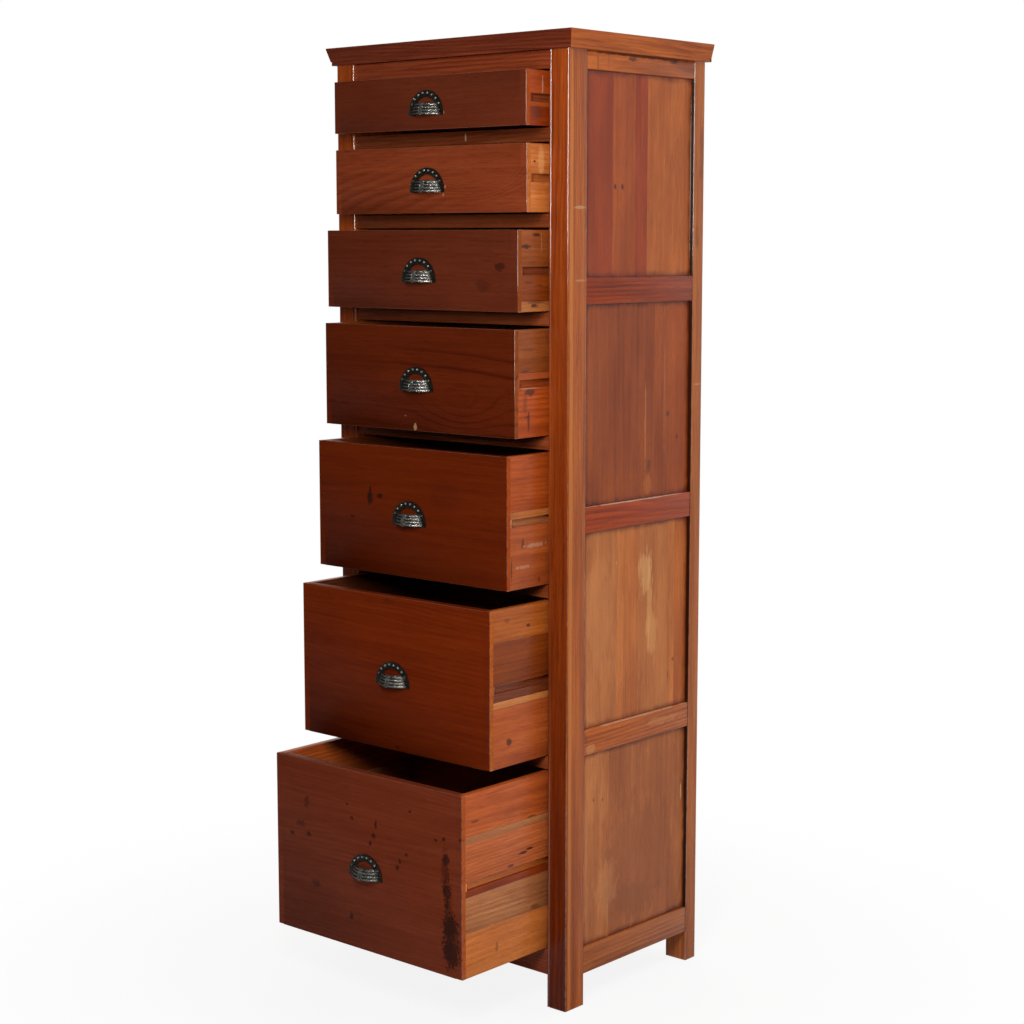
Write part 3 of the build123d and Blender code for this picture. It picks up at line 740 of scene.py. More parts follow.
# Panels glued up from upright boards: where each board ends, its tone and its shade
panel = {"inset": 7.5, "thick": 8, "back": (404.5, 412.5), "arris": 0.3}
panelBoards = {
    3: [(140, "plum", 0.95), (209, "sienna", 1.18), (246, "plum", 1.12), (sideRear, "amber", 0.97)],
    2: [(272, "sienna", 0.91), (309, "sienna", 1.01), (sideRear, "sienna", 1.12)],
    1: [
        (160, "wheat", 0.96), (230, "tan", 1.03), (322, "wheat", 1.02), (345, "tan", 0.98), (sideRear, "amber", 0.98),
    ],
    0: [(140, "wheat", 0.98), (sideRear, "fawn", 1.0)],
}
backBoards = [
    (-130, "fawn", 0.95), (-10, "tan", 0.8), (95, "walnut", 1.2), (180, "tan", 0.8), (rearInner, "fawn", 1.0),
]
panelMarksAndHighlight = sideSpots(294, [
    # The pale line at depth 384.5 along the rear edge of the top panel is a painted highlight
    (147, 1575, 4.5, 6), (169, 1575, 5, 6.5), (384.5, 1595, 1.5, 190, (0.75, 0.62, 0.50), 0.7, 1.6),
    (257, 1038, 8, 9, (0.12, 0.025, 0.009), 0.6), (255, 1000, 16, 26, (0.52, 0.13, 0.02), 0.5, 1.4),
    (318, 1136, 7, 7, (0.09, 0.022, 0.010), 0.7), (348, 1089, 5, 5, (0.09, 0.022, 0.010), 0.7),
    (306, 1170, 2.5, 130, (0.55, 0.20, 0.08), 0.3, 1.2),
    (92, 1190, 16, 130, (0.22, 0.05, 0.014), 0.35, 2.0, 60, 14),
    (168, 1290, 3, 62, (0.20, 0.05, 0.014), 0.5, 1.8),
    (246, 1110, 3, 110, (0.64, 0.23, 0.08), 0.4, 1.7, 150, 30),
    (266, 1090, 2.2, 140, (0.18, 0.045, 0.013), 0.5, 1.7, 150, 26),
    (256, 1046, 13, 3, (0.16, 0.035, 0.010), 0.5, 1.6), (254, 1028, 12, 3, (0.16, 0.035, 0.010), 0.5, 1.6),
    (250, 832, 24, 52, (0.82, 0.42, 0.15), 0.5, 2.2, 150, 26),
    (262, 770, 9, 110, (0.82, 0.40, 0.13), 0.42, 2.4, 150, 20),
    (272, 706, 20, 58, (0.80, 0.38, 0.12), 0.4, 2.4, 150, 26),
    (100, 760, 60, 150, (0.66, 0.24, 0.07), 0.35, 1.8, 60, 20),
    (190, 600, 2.5, 90, (0.26, 0.05, 0.010), 0.5, 1.8, 150, 20),
    (342, 640, 5, 5, (0.10, 0.025, 0.01), 0.6, 1.2), (326, 610, 3, 9, (0.12, 0.03, 0.01), 0.5, 1.2),
    (235, 255, 120, 150, (0.30, 0.075, 0.016), 0.5, 2.0, 40, 20),
    (215, 175, 95, 42, (0.26, 0.065, 0.014), 0.45, 2.2, 60, 40),
    (300, 420, 90, 60, (0.34, 0.085, 0.018), 0.35, 2.0, 40, 20),
    (130, 215, 40, 60, (0.66, 0.27, 0.09), 0.3, 2.2, 60, 30), (374, 360, 3, 22, (0.80, 0.42, 0.16), 0.6, 1.2),
    (92, 400, 3, 4, shadeAndSeamTone, 0.6), (120, 395, 3, 4, shadeAndSeamTone, 0.5),
])
panelWood = makeWood("panelWood", panelLook, panelMarksAndHighlight)
plainPanelWood = makeWood("plainPanelWood", panelLook)


def openingsOf(rails):
    return [(below[1], above[0]) for below, above in zip(rails, rails[1:])]


for side, word in sides:
    boards = []
    outer = side * (chest["half"] - panel["inset"])
    inner = outer - side * panel["thick"]
    for level, (z0, z1) in enumerate(openingsOf(chest["sideRails"])):
        # The left side takes the boards of another level
        rows = panelBoards[level if side > 0 else (level + 2) % 4]
        boards += glueUp((inner, sideFront, z0), (outer, sideRear, z1), 1, rows, "Z", panel["arris"], True)
    wood = panelWood if side > 0 else plainPanelWood
    finishPiece(boards, f"{word}_side_panels", wood)

boards = []
front, rear = panel["back"]
for z0, z1 in openingsOf(chest["backRails"]):
    boards += glueUp((-rearInner, front, z0), (rearInner, rear, z1), 0, backBoards, "Z", panel["arris"], True)
    # The next panel up has its joints the other way round
    ends = [-end for end, _, _ in backBoards[-2::-1]] + [rearInner]
    backBoards = [(end, *look[1:]) for end, look in zip(ends, backBoards[1:] + [(0, "tan", 0.9)])]
finishPiece(boards, "back_panels", plainPanelWood)
print("rails and panels done")

# Rails across the front
postInner = chest["half"] - chest["frontPost"][0]


def makeFrontRails(spans, looks):
    front, rear = rail["front"]
    return makeRails((-postInner, front), (postInner, rear), spans, looks, "X", rail["frontArris"], 4)


for word, level, shade in (("top", -1, 1.08), ("bottom", 0, 1.0)):
    rails = makeFrontRails([chest["sideRails"][level]], [("chestnut", shade)])
    finishPiece(rails, f"front_{word}_rail", railWood)
dividerWood = makeWood("dividerWood", railLook, frontSpots(5, [(43, 1668, 2.5, 9, (0.55, 0.36, 0.22), 0.7)]))
# Painted light: the lower dividers are toned lighter, standing in for light the drawers above keep off them
dividerTonesWithPaintedLight = [("umber", shade) for shade in (1.0, 1.1, 1.4, 1.5, 1.4, 1.5)]
rails = makeFrontRails([(z, z + rail["divider"]) for z in chest["dividers"]], dividerTonesWithPaintedLight)
finishPiece(rails, "drawer_dividers", dividerWood)

# Cornice: splayed strips over a small step, mitred at the front corners
cornice = {
    "width": 60, "side": 320, "front": -14, "rear": 425, "splay": 7.5, "step": 1.5, "band": 7, "rebate": (10, 14),
    "arris": 2.1,
}


def makeCorniceStrip(side, tone, shade):
    # side is 0 for the front, -1 and 1 for the left and right
    wide, base = cornice["width"], chest["top"]
    roof, band = base + chest["cornice"], base + cornice["band"]
    if side:
        edge, inward = side * cornice["side"], Vector((-side, 0, 0))
        left, right = sorted((edge, edge - side * wide))
        strip = addBlock((left, cornice["front"], base), (right, cornice["rear"], roof))
    else:
        edge, inward = cornice["front"], Vector((0, 1, 0))
        strip = addBlock((-cornice["side"], edge, base), (cornice["side"], edge + wide, roof))
    reach = inFrame((edge, edge, base)).dot(inward)
    cutSquare(strip, "Z", band)

    def isOuter(point):
        return abs(point.dot(inward) - reach) < tiny

    step = cornice["step"] * mm
    pushFaces(strip, lambda f: isOuter(f.center) and f.center.z < band * mm, inward * step)
    for corner in strip.data.vertices:
        # Everything at or below the splay's foot moves in, and the top edge stays
        away = corner.co.dot(inward) - reach
        if corner.co.z < band * mm + tiny and away < step + 10 * tiny:
            corner.co += inward * cornice["splay"] * mm
    deep, tall = cornice["rebate"]
    ledge = roof - tall
    cutSquare(strip, "Z", ledge - 0.1, ledge)
    editFaces(strip, lambda f: f.center.z > ledge * mm and abs(f.center.dot(inward) - reach - wide * mm) < tiny)
    bpy.ops.transform.translate(value=-inward * deep * mm)
    leaveEdit()
    for end in (side,) if side else (1, -1):
        # The mitre runs at 45 degrees through the outer front corner
        normal = Vector((-side, -1, 0)) if side else Vector((end, 1, 0))
        corner = inFrame((end * cornice["side"], cornice["front"], 0))
        cutAt(strip, corner, normal, clear_outer=True, use_fill=True)

    def isTopEdge(a, b):
        return all(abs(p.z - roof * mm) < tiny and isOuter(p) for p in (a, b))

    roundChosen(strip, isTopEdge, cornice["arris"], 6)
    return tagBoard(strip, "Y" if side else "X", tone, shade)


def makeRearStrips(tone, shade):
    # The upper one laps into the rebates of the side strips
    base, rear, inner = chest["top"], cornice["rear"], cornice["side"] - cornice["width"]
    roof, front = base + chest["cornice"], rear - cornice["width"]
    deep, tall = cornice["rebate"]
    return [
        makeBoard((-inner, front, base), (inner, rear, roof - tall), "X", tone, shade, 0.5),
        makeBoard((-inner - deep, front + deep, roof - tall), (inner + deep, rear, roof), "X", tone, shade, 0.5),
    ]


strips = [makeCorniceStrip(0, "oxblood", 1.42), makeCorniceStrip(1, "amber", 1.05), makeCorniceStrip(-1, "amber", 1.0)]
strips += makeRearStrips("sienna", 1.1)
corniceWood = makeWood("corniceWood", dict(railLook, rough=0.32, specular=0.2))
finishPiece(strips, "cornice", corniceWood)

# Top panel: where each board ends, its tone and its shade
topLow, topHigh = [(c - Vector((0, frontPlane, 0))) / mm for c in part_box("top_panel")]
topBoards = [(-120, "amber", 0.8), (20, "sienna", 1.1), (140, "amber", 0.9), (topHigh.x, "sienna", 1.2)]
boards = glueUp(topLow, topHigh, 0, topBoards, "Y", panel["arris"])
topWood = makeWood("topWood", dict(railLook, bump=0.08, rough=0.36, specular=0.2))
finishPiece(boards, "top_panel", topWood)


def dressNodes(ending, material):
    # Pieces that keep their solids take only a material
    for name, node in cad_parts.items():
        if name.endswith(ending):
            for slot in node.material_slots:
                slot.material = material


dressNodes("_runners", runnerWood)
print("carcass done")

# Drawer fronts: tone, shade, what differs from the usual look, and marks
drawerFronts = {
    1: {"tone": "oxblood", "shade": 0.98, "look": {"figure": 0.12, "streaking": 0.12}, "marks": [
        (44, 1713, 3, 3.5, (0.45, 0.22, 0.12), 0.7),
    ]},
    2: {"tone": "chestnut", "shade": 0.96, "look": {
        "figure": 0.6, "ringWidth": 0.019, "sway": 0.16, "slant": 0.7, "swirlAt": (0.375, 0.080, 0.0), "swirl": 0.16,
    }, "marks": [
        (46, 1575, 2.5, 4, (0.5, 0.25, 0.12), 0.7), (41, 1560, 2.5, 4, (0.5, 0.25, 0.12), 0.7),
    ]},
    3: {"tone": "oxblood", "shade": 0.95, "look": {"figure": 0.2, "streaking": 0.2}, "marks": [
        (207, 1426, 17, 9, (0.03, 0.008, 0.005), 0.65, 1.7, 80, 160),
        (165, 1392, 24, 14, (0.05, 0.011, 0.006), 0.4, 1.8, 60, 120),
    ]},
    4: {"tone": "darkRed", "shade": 1.0, "look": {
        "figure": 1.0, "ringWidth": 0.026, "sway": 0.10, "crisp": 0.62, "swirlAt": (0.36, 0.055, 0.0), "swirl": 0.07,
    }, "marks": [
        (-4, 1120, 5.5, 8.5, (0.58, 0.32, 0.15), 0.85), (-30, 1140, 3, 2, (0.4, 0.2, 0.1), 0.6),
    ]},
    5: {"tone": "russet", "shade": 1.0, "look": {"figure": 0.3}, "marks": [
        (-107, 975, 10, 15, ink, 0.85, 1.5), (-106, 992, 4, 13, ink, 0.8, 1.4), (-79, 982, 9, 6, ink, 0.85, 1.5),
        (-157, 936, 9, 4, ink, 0.6, 1.6), (-172, 934, 4, 3, ink, 0.5, 1.4),
        (92, 995, 46, 34, (0.10, 0.014, 0.004), 0.45, 1.2),
    ]},
    6: {"tone": "russet", "shade": 1.29, "look": {"figure": 0.45, "streaking": 0.45}, "marks": [
        (-10, 788, 16, 6, (0.06, 0.015, 0.006), 0.5), (10, 505, 5, 4, ink, 0.6),
    ]},
    7: {"tone": "oxblood", "shade": 1.46, "look": {"figure": 0.3, "streaking": 0.3}},
}
# Blots on the lowest front, from its top left corner: across, down, width and height
inkBlots = [
    (460, 128, 9, 15), (462, 188, 12, 20), (462, 214, 8, 8), (470, 253, 20, 28), (472, 303, 22, 31),
    (277, 95, 4, 10), (271, 117, 7, 8), (262, 134, 4, 6), (358, 138, 4, 4), (341, 154, 4, 6), (334, 167, 5, 6),
    (212, 94, 5, 4), (199, 68, 3, 3), (91, 149, 7, 6), (44, 154, 7, 5), (209, 290, 6, 7), (455, 89, 5, 4),
    (434, 94, 5, 3), (496, 84, 4, 4), (368, 52, 4, 3),
]
faintBlots = [
    (86, 86, 8, 14), (68, 132, 16, 9), (110, 246, 14, 10), (466, 240, 15, 100), (474, 285, 27, 60), (458, 150, 12, 50),
]
left, top = -drawer["half"], drawer["lows"][-1] + drawer["heights"][-1]
drawerFronts[7]["marks"] = [
    (left + x, top - down, wide * 1.1, tall * 1.1, ink, 0.72, 1.7) for x, down, wide, tall in inkBlots
] + [
    (left + x, top - down, wide, tall, (0.035, 0.010, 0.006), 0.5, 2.0) for x, down, wide, tall in faintBlots
]

# Drawer sides from the top down: how far each strip reaches below the top, its tone and its shade
sideStrips = {
    1: [(42.5, "orangeRed", 1.1), ("groove", "umber", 1.3), (66, "orangeRed", 0.95), (100, "plum", 0.85)],
    2: [(55, "paleOrange", 1.08), ("groove", "paleOrange", 0.85), (125, "paleOrange", 1.07)],
    3: [(67.5, "walnut", 1.04), ("groove", "umber", 1.22), (131, "sienna", 0.74), (150, "ochre", 0.84)],
    4: [(80, "walnut", 1.0), (92.5, "redwood", 1.04), ("groove", "redwood", 0.8), (200, "orangeRed", 1.13)],
    5: [(104, "orangeRed", 1.0), (117.5, "honey", 1.05), ("groove", "drab", 0.95), (250, "redwood", 0.92)],
    6: [
        (62, "amber", 0.92), (142.5, "sienna", 0.83), ("groove", "umber", 1.25), (173, "umber", 1.1),
        (186, "ochre", 1.06), (300, "redwood", 1.05),
    ],
    7: [
        (80, "redwood", 1.25), (94, "drab", 1.08), (167.5, "copper", 1.14), ("groove", "tan", 1.25),
        (195, "plum", 0.86), (264, "drab", 0.99), (350, "tan", 1.14),
    ],
}
sideMarksAndSheen = {
    # On drawers 1 and 2 the pale streak near the front of the top strip is a painted sheen
    1: [(-28, 1707, 18, 14, (0.10, 0.025, 0.016), 0.6), (-12, 1757, 3, 22, paleMarkAndSheen, 0.42, 1.3)],
    2: [(-34, 1618, 4, 3), (-15, 1620, 11, 34, (0.84, 0.40, 0.15), 0.5, 1.2)],
    3: [
        (-58, 1463, 15, 4.5, knotTone, 0.85, 1.6), (-28, 1485, 14, 4, knotTone, 0.85, 1.6),
        (-36, 1355, 12, 4, knotTone, 0.85, 1.5), (-50, 1398, 16, 3, (0.07, 0.016, 0.006), 0.6, 1.8),
        (-20, 1392, 12, 3, (0.09, 0.02, 0.007), 0.5, 1.8), (-30, 1362, 30, 4, (0.05, 0.012, 0.005), 0.5, 1.4),
        (-14, 1470, 1.6, 24, paleMarkAndSheen, 0.2, 1.3),
    ],
    4: [
        (-46, 1196, 17, 9, (0.05, 0.012, 0.005), 0.75, 1.9), (-60, 1175, 7, 24, (0.14, 0.03, 0.008), 0.5, 1.8),
        (-50, 1143, 4, 24, (0.06, 0.014, 0.006), 0.75, 1.9), (-54, 1150, 10, 4, (0.10, 0.02, 0.007), 0.5, 1.8),
        (-60, 1235, 14, 2.5, (0.08, 0.02, 0.006), 0.6), (-55, 1275, 25, 4, (0.10, 0.03, 0.008), 0.5),
        (-45, 1203, 34, 1.6, paleMarkAndSheen, 0.35, 1.2),
    ],
    5: [
        (-66, 915, 6, 12, (0.09, 0.02, 0.008), 0.7), (-30, 909, 34, 5, paleMarkAndSheen, 0.4, 2.2),
        (-66, 871, 26, 4, paleMarkAndSheen, 0.3, 2.2), (-98, 868, 2.5, 26, (0.06, 0.014, 0.006), 0.7),
        (-20, 842, 5, 7, (0.08, 0.02, 0.008), 0.6),
    ],
    6: [
        (-105, 544, 10, 9, (0.07, 0.020, 0.012), 0.85), (-50, 759, 7, 4),
        (-110, 776, 9, 5, (0.13, 0.03, 0.01), 0.5),
    ],
    7: [
        (-200, 412, 14, 3, (0.10, 0.022, 0.010), 0.7), (-65, 322, 16, 3.5), (-45, 326, 12, 3),
        (-100, 304, 12, 4, (0.08, 0.02, 0.01), 0.7), (-160, 298, 4, 3), (-140, 156, 5, 12, (0.16, 0.04, 0.01), 0.5),
        (-40, 388, 14, 3, (0.12, 0.03, 0.01), 0.6), (-30, 208, 18, 6, (0.12, 0.035, 0.012), 0.5),
    ],
}


def drawerPlace(number):
    low = drawer["lows"][number - 1]
    return -drawer["outs"][number - 1], low, low + drawer["heights"][number - 1]


def makeFront(number):
    half, inner = drawer["half"], drawer["inner"]
    y, low, high = drawerPlace(number)
    face = addBlock((-half, y, low), (half, y + drawer["lap"], high))
    cutSquare(face, "X", -inner, inner)
    move = Vector((0, drawer["front"] - drawer["lap"], 0)) * mm
    pushFaces(face, lambda f: f.normal.y > 0.9 and abs(f.center.x) < inner * mm, move)
    edge = inFrame((0, y, 0)).y

    def isArris(a, b):
        onCut = all(abs(abs(p.x) - inner * mm) < tiny for p in (a, b))
        return not onCut and all(abs(p.y - edge) < tiny for p in (a, b))

    roundChosen(face, isArris, drawer["arris"], 4)
    style = drawerFronts[number]
    tagBoard(face, "X", style["tone"], style["shade"], (-half, y, low), (half, y + drawer["front"], high))
    endTone = sideStrips[number][0][1]
    shadeFace(face, lambda p: abs(p.x) > (half - 0.1) * mm, endTone, endTone)
    return face


def makeSide(number, side):
    y, low, top = drawerPlace(number)
    inner, outer = side * drawer["inner"], side * drawer["half"]
    front, rear = y + drawer["lap"], y + drawer["length"]
    middle, halfGroove = (top - low) / 2, drawer["groove"] / 2
    strips, start = [], 0
    for reach, tone, shade in sideStrips[number]:
        if reach == "groove":
            # A thinner strip behind the runner groove, closed by a small stop at the front
            start = middle + halfGroove
            z0, z1 = top - start, top - middle + halfGroove
            floor, stop = outer - side * drawer["grooveDepth"], front + drawer["grooveStop"]
            strips.append(makeBoard((inner, front, z0), (floor, rear, z1), "Y", tone, shade, 0.0))
            strips.append(makeBoard((floor, front, z0), (outer, stop, z1), "Y", tone, shade * 1.2, 0.2))
            continue
        arris = 0.35 if start else 0.9
        strips.append(makeBoard((inner, front, top - reach), (outer, rear, top - start), "Y", tone, shade, arris))
        if number in (5, 6):
            # Painted shade: the inner faces of these two are toned darker, more so lower down
            shadeFace(strips[-1], lambda p: abs(p.x) < (drawer["inner"] + 0.3) * mm, "umber", "gap")
        start = reach
    return strips


def makeLining(number):
    y, low, top = drawerPlace(number)
    inner, rear = drawer["inner"], y + drawer["length"]
    backFront = rear - drawer["board"]
    back = makeBoard((-inner, backFront, low), (inner, rear, top), "X", "umber", 1.3, 0.8)
    z0, z1 = [low + z for z in drawer["bottom"]]
    rows = [(-75, "umber", 1.0), (70, "umber", 1.2), (inner, "umber", 0.9)]
    return back, glueUp((-inner, y + drawer["front"], z0), (inner, backFront, z1), 0, rows, "Y", 0.2)


for number in range(1, 8):
    body = f"drawer_{number}"
    style = drawerFronts[number]
    marks = frontSpots(-int(drawer["outs"][number - 1]), style["marks"])
    wood = makeWood(f"frontWood{number}", dict(frontLook, **style["look"]), marks)
    finishPiece([makeFront(number)], body + "_front", wood)
    wood = makeWood(f"sideWood{number}", liningLook, sideSpots(drawer["half"], sideMarksAndSheen[number]))
    strips = makeSide(number, 1) + makeSide(number, -1)
    finishPiece(strips, body + "_sides", wood)
    back, floor = makeLining(number)
    finishPiece([back], body + "_back", liningWood)
    finishPiece(floor, body + "_bottom", liningWood)
print("drawers done")

# Half-moon pull in dark cast iron, modelled once with its back on depth 0
pull = {
    "radius": 44, "centre": 3, "plate": 3, "rim": 13, "channel": (1.5, 0.7), "reach": 19, "strapWidth": 76,
    "strapHeight": 23, "strapThick": 3, "strapBack": 0.8,
    "lean": 6, "ribs": 4, "ribHeight": 3, "ribProud": 1, "claspWidth": 9, "claspProud": 1.6, "claspSink": 1.5,
    "window": (1.2, 0.8), "rivets": (0.32, 0.68),
    "beads": 8, "beadRadius": 3.4, "beadInset": 5, "beadCentre": 2.2, "beadBack": 1.9, "firstBead": 0.155,
    "lowestDrop": 7,
}
strapRadius = ((pull["strapWidth"] / 2) ** 2 + pull["reach"] ** 2) / (2 * pull["reach"])
strapCentre = strapRadius - pull["reach"]
strapLean = pull["lean"] / pull["strapHeight"]


def sinkFaces(piece, test, border, depth):
    editFaces(piece, test)
    bpy.ops.mesh.inset(thickness=border * mm)
    bpy.ops.transform.translate(value=(0, depth * mm, 0))
    leaveEdit()


def leanBack(piece):
    lean = Matrix.Identity(4)
    lean[1][2] = strapLean
    piece.data.transform(lean)


def makePlate():
    deselect()
    bpy.ops.mesh.primitive_cylinder_add(
        vertices=96, radius=pull["radius"] * mm, depth=pull["plate"] * mm,
        location=(0, -pull["plate"] / 2 * mm, pull["centre"] * mm), rotation=(math.pi / 2, 0, 0),
    )
    plate = bakePlace(bpy.context.object)
    editFaces(plate, lambda f: abs(f.normal.y) > 0.9)
    bpy.ops.mesh.inset(thickness=pull["rim"] * mm, use_individual=True)
    bpy.ops.mesh.bridge_edge_loops()
    leaveEdit()
    sinkFaces(plate, lambda f: f.normal.y < -0.9, *pull["channel"])  # the beads stand in a channel
    cutAt(plate, (0, 0, 0), (0, 0, 1), clear_inner=True, use_fill=True)
    roundEdges(plate, 0.35)
    return plate


def makeBead(number):
    deselect()
    turn = math.pi * (pull["firstBead"] + (1 - 2 * pull["firstBead"]) * number / (pull["beads"] - 1))
    ring = pull["radius"] - pull["beadInset"]
    place = Vector((ring * math.cos(turn), -pull["beadCentre"], pull["centre"] + ring * math.sin(turn))) * mm
    bpy.ops.mesh.primitive_uv_sphere_add(
        segments=20, ring_count=12, radius=pull["beadRadius"] * mm, location=place, rotation=(math.pi / 2, 0, 0)
    )
    bead = bakePlace(bpy.context.object)
    cutAt(bead, (0, -pull["beadBack"] * mm, 0), (0, 1, 0), clear_outer=True, use_fill=True)
    return bead


def makeStrap():
    # Half of the ribbed strap: its section is swept to one side, then mirrored
    deselect()
    front, back = -pull["reach"], -pull["reach"] + pull["strapThick"]
    middle = Vector((0, (front + back) / 2, pull["strapHeight"] / 2)) * mm
    bpy.ops.mesh.primitive_plane_add(size=1, location=middle, rotation=(0, math.pi / 2, 0))
    strap = bpy.context.object
    strap.scale = (pull["strapHeight"] * mm, pull["strapThick"] * mm, 1)
    bakePlace(strap)
    step, half = pull["strapHeight"] / pull["ribs"], pull["ribHeight"] / 2
    ribs = [((i + 0.5) * step - half, (i + 0.5) * step + half) for i in range(pull["ribs"])]
    for rib in ribs:
        for z in rib:
            cutAt(strap, (0, 0, z * mm), (0, 0, 1))

    def isRib(a, b):
        onFront = all(abs(p.y - front * mm) < tiny for p in (a, b))
        height = (a.z + b.z) / 2 / mm
        return onFront and any(low < height < high for low, high in ribs)

    editEdges(strap, isRib)
    bpy.ops.mesh.extrude_region_move(TRANSFORM_OT_translate={"value": (0, -pull["ribProud"] * mm, 0)})
    leaveEdit()
    leanBack(strap)
    editAll(strap)
    bpy.ops.mesh.spin(steps=18, angle=math.radians(56), center=(0, strapCentre * mm, 0), axis=(0, 0, 1))
    leaveEdit()
    editFaces(strap, lambda f: abs(f.center.x) < 1e-6)
    bpy.ops.mesh.delete(type="FACE")
    leaveEdit()
    cutAt(strap, (0, -pull["strapBack"] * mm, 0), (0, 1, 0), clear_outer=True, use_fill=True)
    applyModifier(strap, "MIRROR", use_axis=(True, False, False), merge_threshold=1e-5)
    editAll(strap)
    bpy.ops.mesh.remove_doubles(threshold=1e-6)
    bpy.ops.mesh.normals_make_consistent(inside=False)
    leaveEdit()
    roundEdges(strap, 0.3)
    return strap


def makeClasp():
    half, tall = pull["claspWidth"] / 2, pull["strapHeight"]
    low = Vector((-half, -pull["reach"] - pull["claspProud"], 0)) * mm
    high = Vector((half, -pull["reach"] + pull["claspSink"], tall)) * mm
    clasp = addCube(low, high)
    for share in pull["rivets"]:
        cutAt(clasp, (0, 0, tall * share * mm), (0, 0, 1))

    def isMiddle(face):
        return face.normal.y < -0.9 and abs(face.center.z - tall / 2 * mm) < 10 * tiny

    sinkFaces(clasp, isMiddle, *pull["window"])  # a sunk window between two rivets
    leanBack(clasp)
    roundEdges(clasp, 0.6, 3)
    return clasp


firstPull = joinPieces("pull", [makePlate(), makeStrap(), makeClasp()] + [makeBead(i) for i in range(pull["beads"])])
writeLayer(firstPull.data, "pullPlace", "FLOAT_VECTOR", [v.co / mm for v in firstPull.data.vertices])


def makeIron():
    # Dark patina, rubbed bright on the rib tops, beads and clasp
    material, shader = startMaterial("pullIron")
    place = readLayer("pullPlace")["Vector"]
    x, y, z = split(place)
    radius = vectorCalc("LENGTH", unite(x, minus(y, strapCentre)))
    proud = minus(scaleAdd(z, strapLean, radius), strapRadius)
    ribTop = times(ramp(proud, 0.35, 0.95), inverse(ramp(y, -6.0, -4.5)))
    beadTop = times(ramp(times(y, -1.0), 4.3, 5.4), ramp(z, 22.5, 24.0))
    grit = noise(place, (0.55, 0.55, 0.55), 4.0, 0.65)
    fine = noise(place, (3.0, 3.0, 3.0))
    rubbed = highest(times(ribTop, ramp(grit, 0.40, 0.62)), beadTop)
    patina = mixColour(ramp(grit, 0.42, 0.62), (0.015, 0.013, 0.010), (0.13, 0.120, 0.102))
    colour = mixColour(times(rubbed, 0.85), patina, (0.62, 0.60, 0.55))
    rough = scaleAdd(ramp(grit, 0.47, 0.60), -0.34, 0.54)
    fill(shader, {
        "Base Color": colour, "Metallic": 0.85, "Roughness": scaleAdd(rubbed, -0.08, rough),
        "Specular Tint": (0.2, 0.2, 0.2),  # dull at a glancing angle
    })
    bumpUp(shader, scaleAdd(fine, 0.5, grit), 0.7, 0.0007)
    return material


pullIron = makeIron()
for number in range(1, 8):
    y, low, high = drawerPlace(number)
    base = (low + high - pull["radius"] - pull["centre"]) / 2
    if number == 7:
        base -= pull["lowestDrop"]
    piece = firstPull.copy()
    piece.data = firstPull.data.copy()
    bpy.context.scene.collection.objects.link(piece)
    piece.data.transform(Matrix.Translation(inFrame((0, y, base))))
    finishPiece([piece], f"drawer_{number}_pull", pullIron)
bpy.data.objects.remove(firstPull)


def makeSteel():
    material, shader = startMaterial("screwSteel")
    dull = noise(objectPlace(), (420.0, 420.0, 420.0), 3.0, 0.6)
    colour = mixColour(ramp(dull, 0.4, 0.7), (0.30, 0.28, 0.25), (0.12, 0.085, 0.06))
    fill(shader, {"Base Color": colour, "Metallic": 0.9, "Roughness": scaleAdd(dull, 0.35, 0.2)})
    return material


dressNodes("_screws", makeSteel())
print("pulls and screws done")

# Floor, light and camera
deselect()
bpy.ops.mesh.primitive_plane_add(size=24, location=(0, 0, -0.0004))
floor = bpy.context.object
floor.name = "floor"


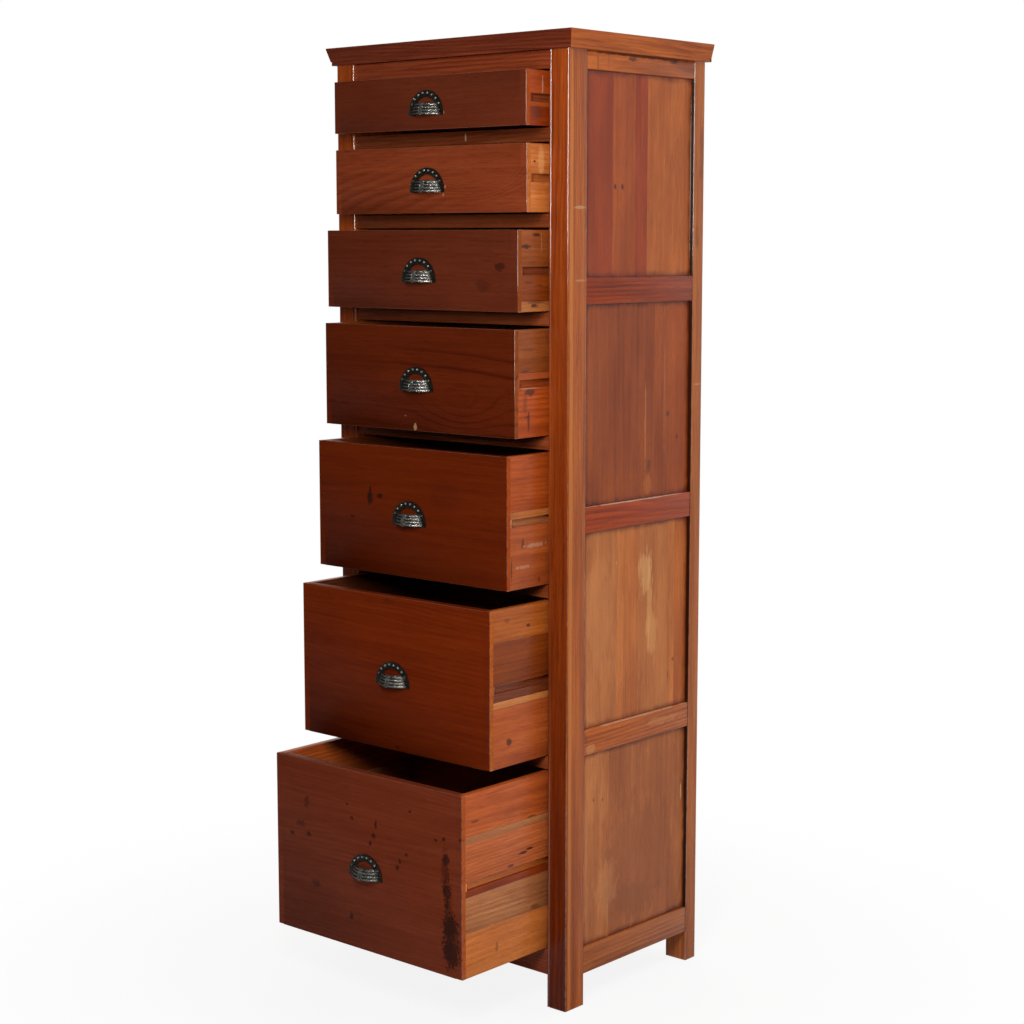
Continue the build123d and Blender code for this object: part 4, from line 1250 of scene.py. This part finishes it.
def makeFloor():
    # White to the camera but for a soft shadow; other rays meet a pale sweep that dims far in front
    material, shader = startMaterial("paleFloor")
    seen = addNode("LightPath").outputs["Is Camera Ray"]
    place = objectPlace()
    depth = split(place)[1]
    near = mixColour(ramp(depth, -2.0, -0.9), (0.12, 0.12, 0.12), (0.75, 0.75, 0.75))
    colour = mixColour(seen, near, (0.9, 0.9, 0.9))
    fill(shader, {"Base Color": colour, "Roughness": 0.9, "Specular IOR Level": 0.0})
    glow = addNode("Emission", {"Color": (1, 1, 1)})
    away = ramp(vectorCalc("LENGTH", place), 0.35, 1.4)
    shown = times(seen, scaleAdd(away, 0.12, 0.88))
    behind = times(ramp(depth, -0.1, 0.7), 0.55)
    lit = times(inverse(seen), behind)
    blend = addNode("MixShader", {0: plus(shown, lit), 1: shader.outputs[0], 2: glow.outputs[0]})
    feed(tree.nodes["Material Output"].inputs["Surface"], blend.outputs[0])
    return material


floor.data.materials.append(makeFloor())


def makeStudio():
    # A white backdrop behind the chest and a dim room before it; the camera sees plain white
    world = bpy.data.worlds.new("studio")
    room = startTree(world)["Background"]
    direction = split(addNode("TexCoord").outputs["Generated"])
    backdrop = scaleAdd(ramp(direction[1], -0.15, 0.30), 0.94, 0.06)
    seen = addNode("LightPath").outputs["Is Camera Ray"]
    fill(room, {"Color": (1, 1, 1), "Strength": highest(backdrop, seen)})
    return world


def addHolder(name, data, at, turn):
    holder = bpy.data.objects.new(name, data)
    bpy.context.scene.collection.objects.link(holder)
    holder.location = at
    holder.rotation_euler = turn
    return holder


bpy.context.scene.world = makeStudio()
lamp = {"at": (1.30, -1.84, 1.92), "aim": (0.1, -0.2, 1.55), "size": (0.45, 1.00), "power": 39}
light = bpy.data.lights.new("key", "AREA")
light.shape = "RECTANGLE"
light.size, light.size_y = lamp["size"]
light.energy = lamp["power"]
toward = Vector(lamp["aim"]) - Vector(lamp["at"])
addHolder("key", light, lamp["at"], toward.to_track_quat("-Z", "Y").to_euler())

view = {"at": (2.7477, -2.93881 + frontPlane, 1.47672), "turn": 41.308, "tip": -7.516, "lens": 72.67, "sensor": 36}
camera = bpy.data.cameras.new("view")
camera.lens = view["lens"]
camera.sensor_width = view["sensor"]
turn = (math.radians(90 + view["tip"]), 0, math.radians(view["turn"]))
bpy.context.scene.camera = addHolder("view", camera, view["at"], turn)
bpy.context.scene.view_settings.view_transform = "Standard"

print("scene done:", boardCount, "boards")
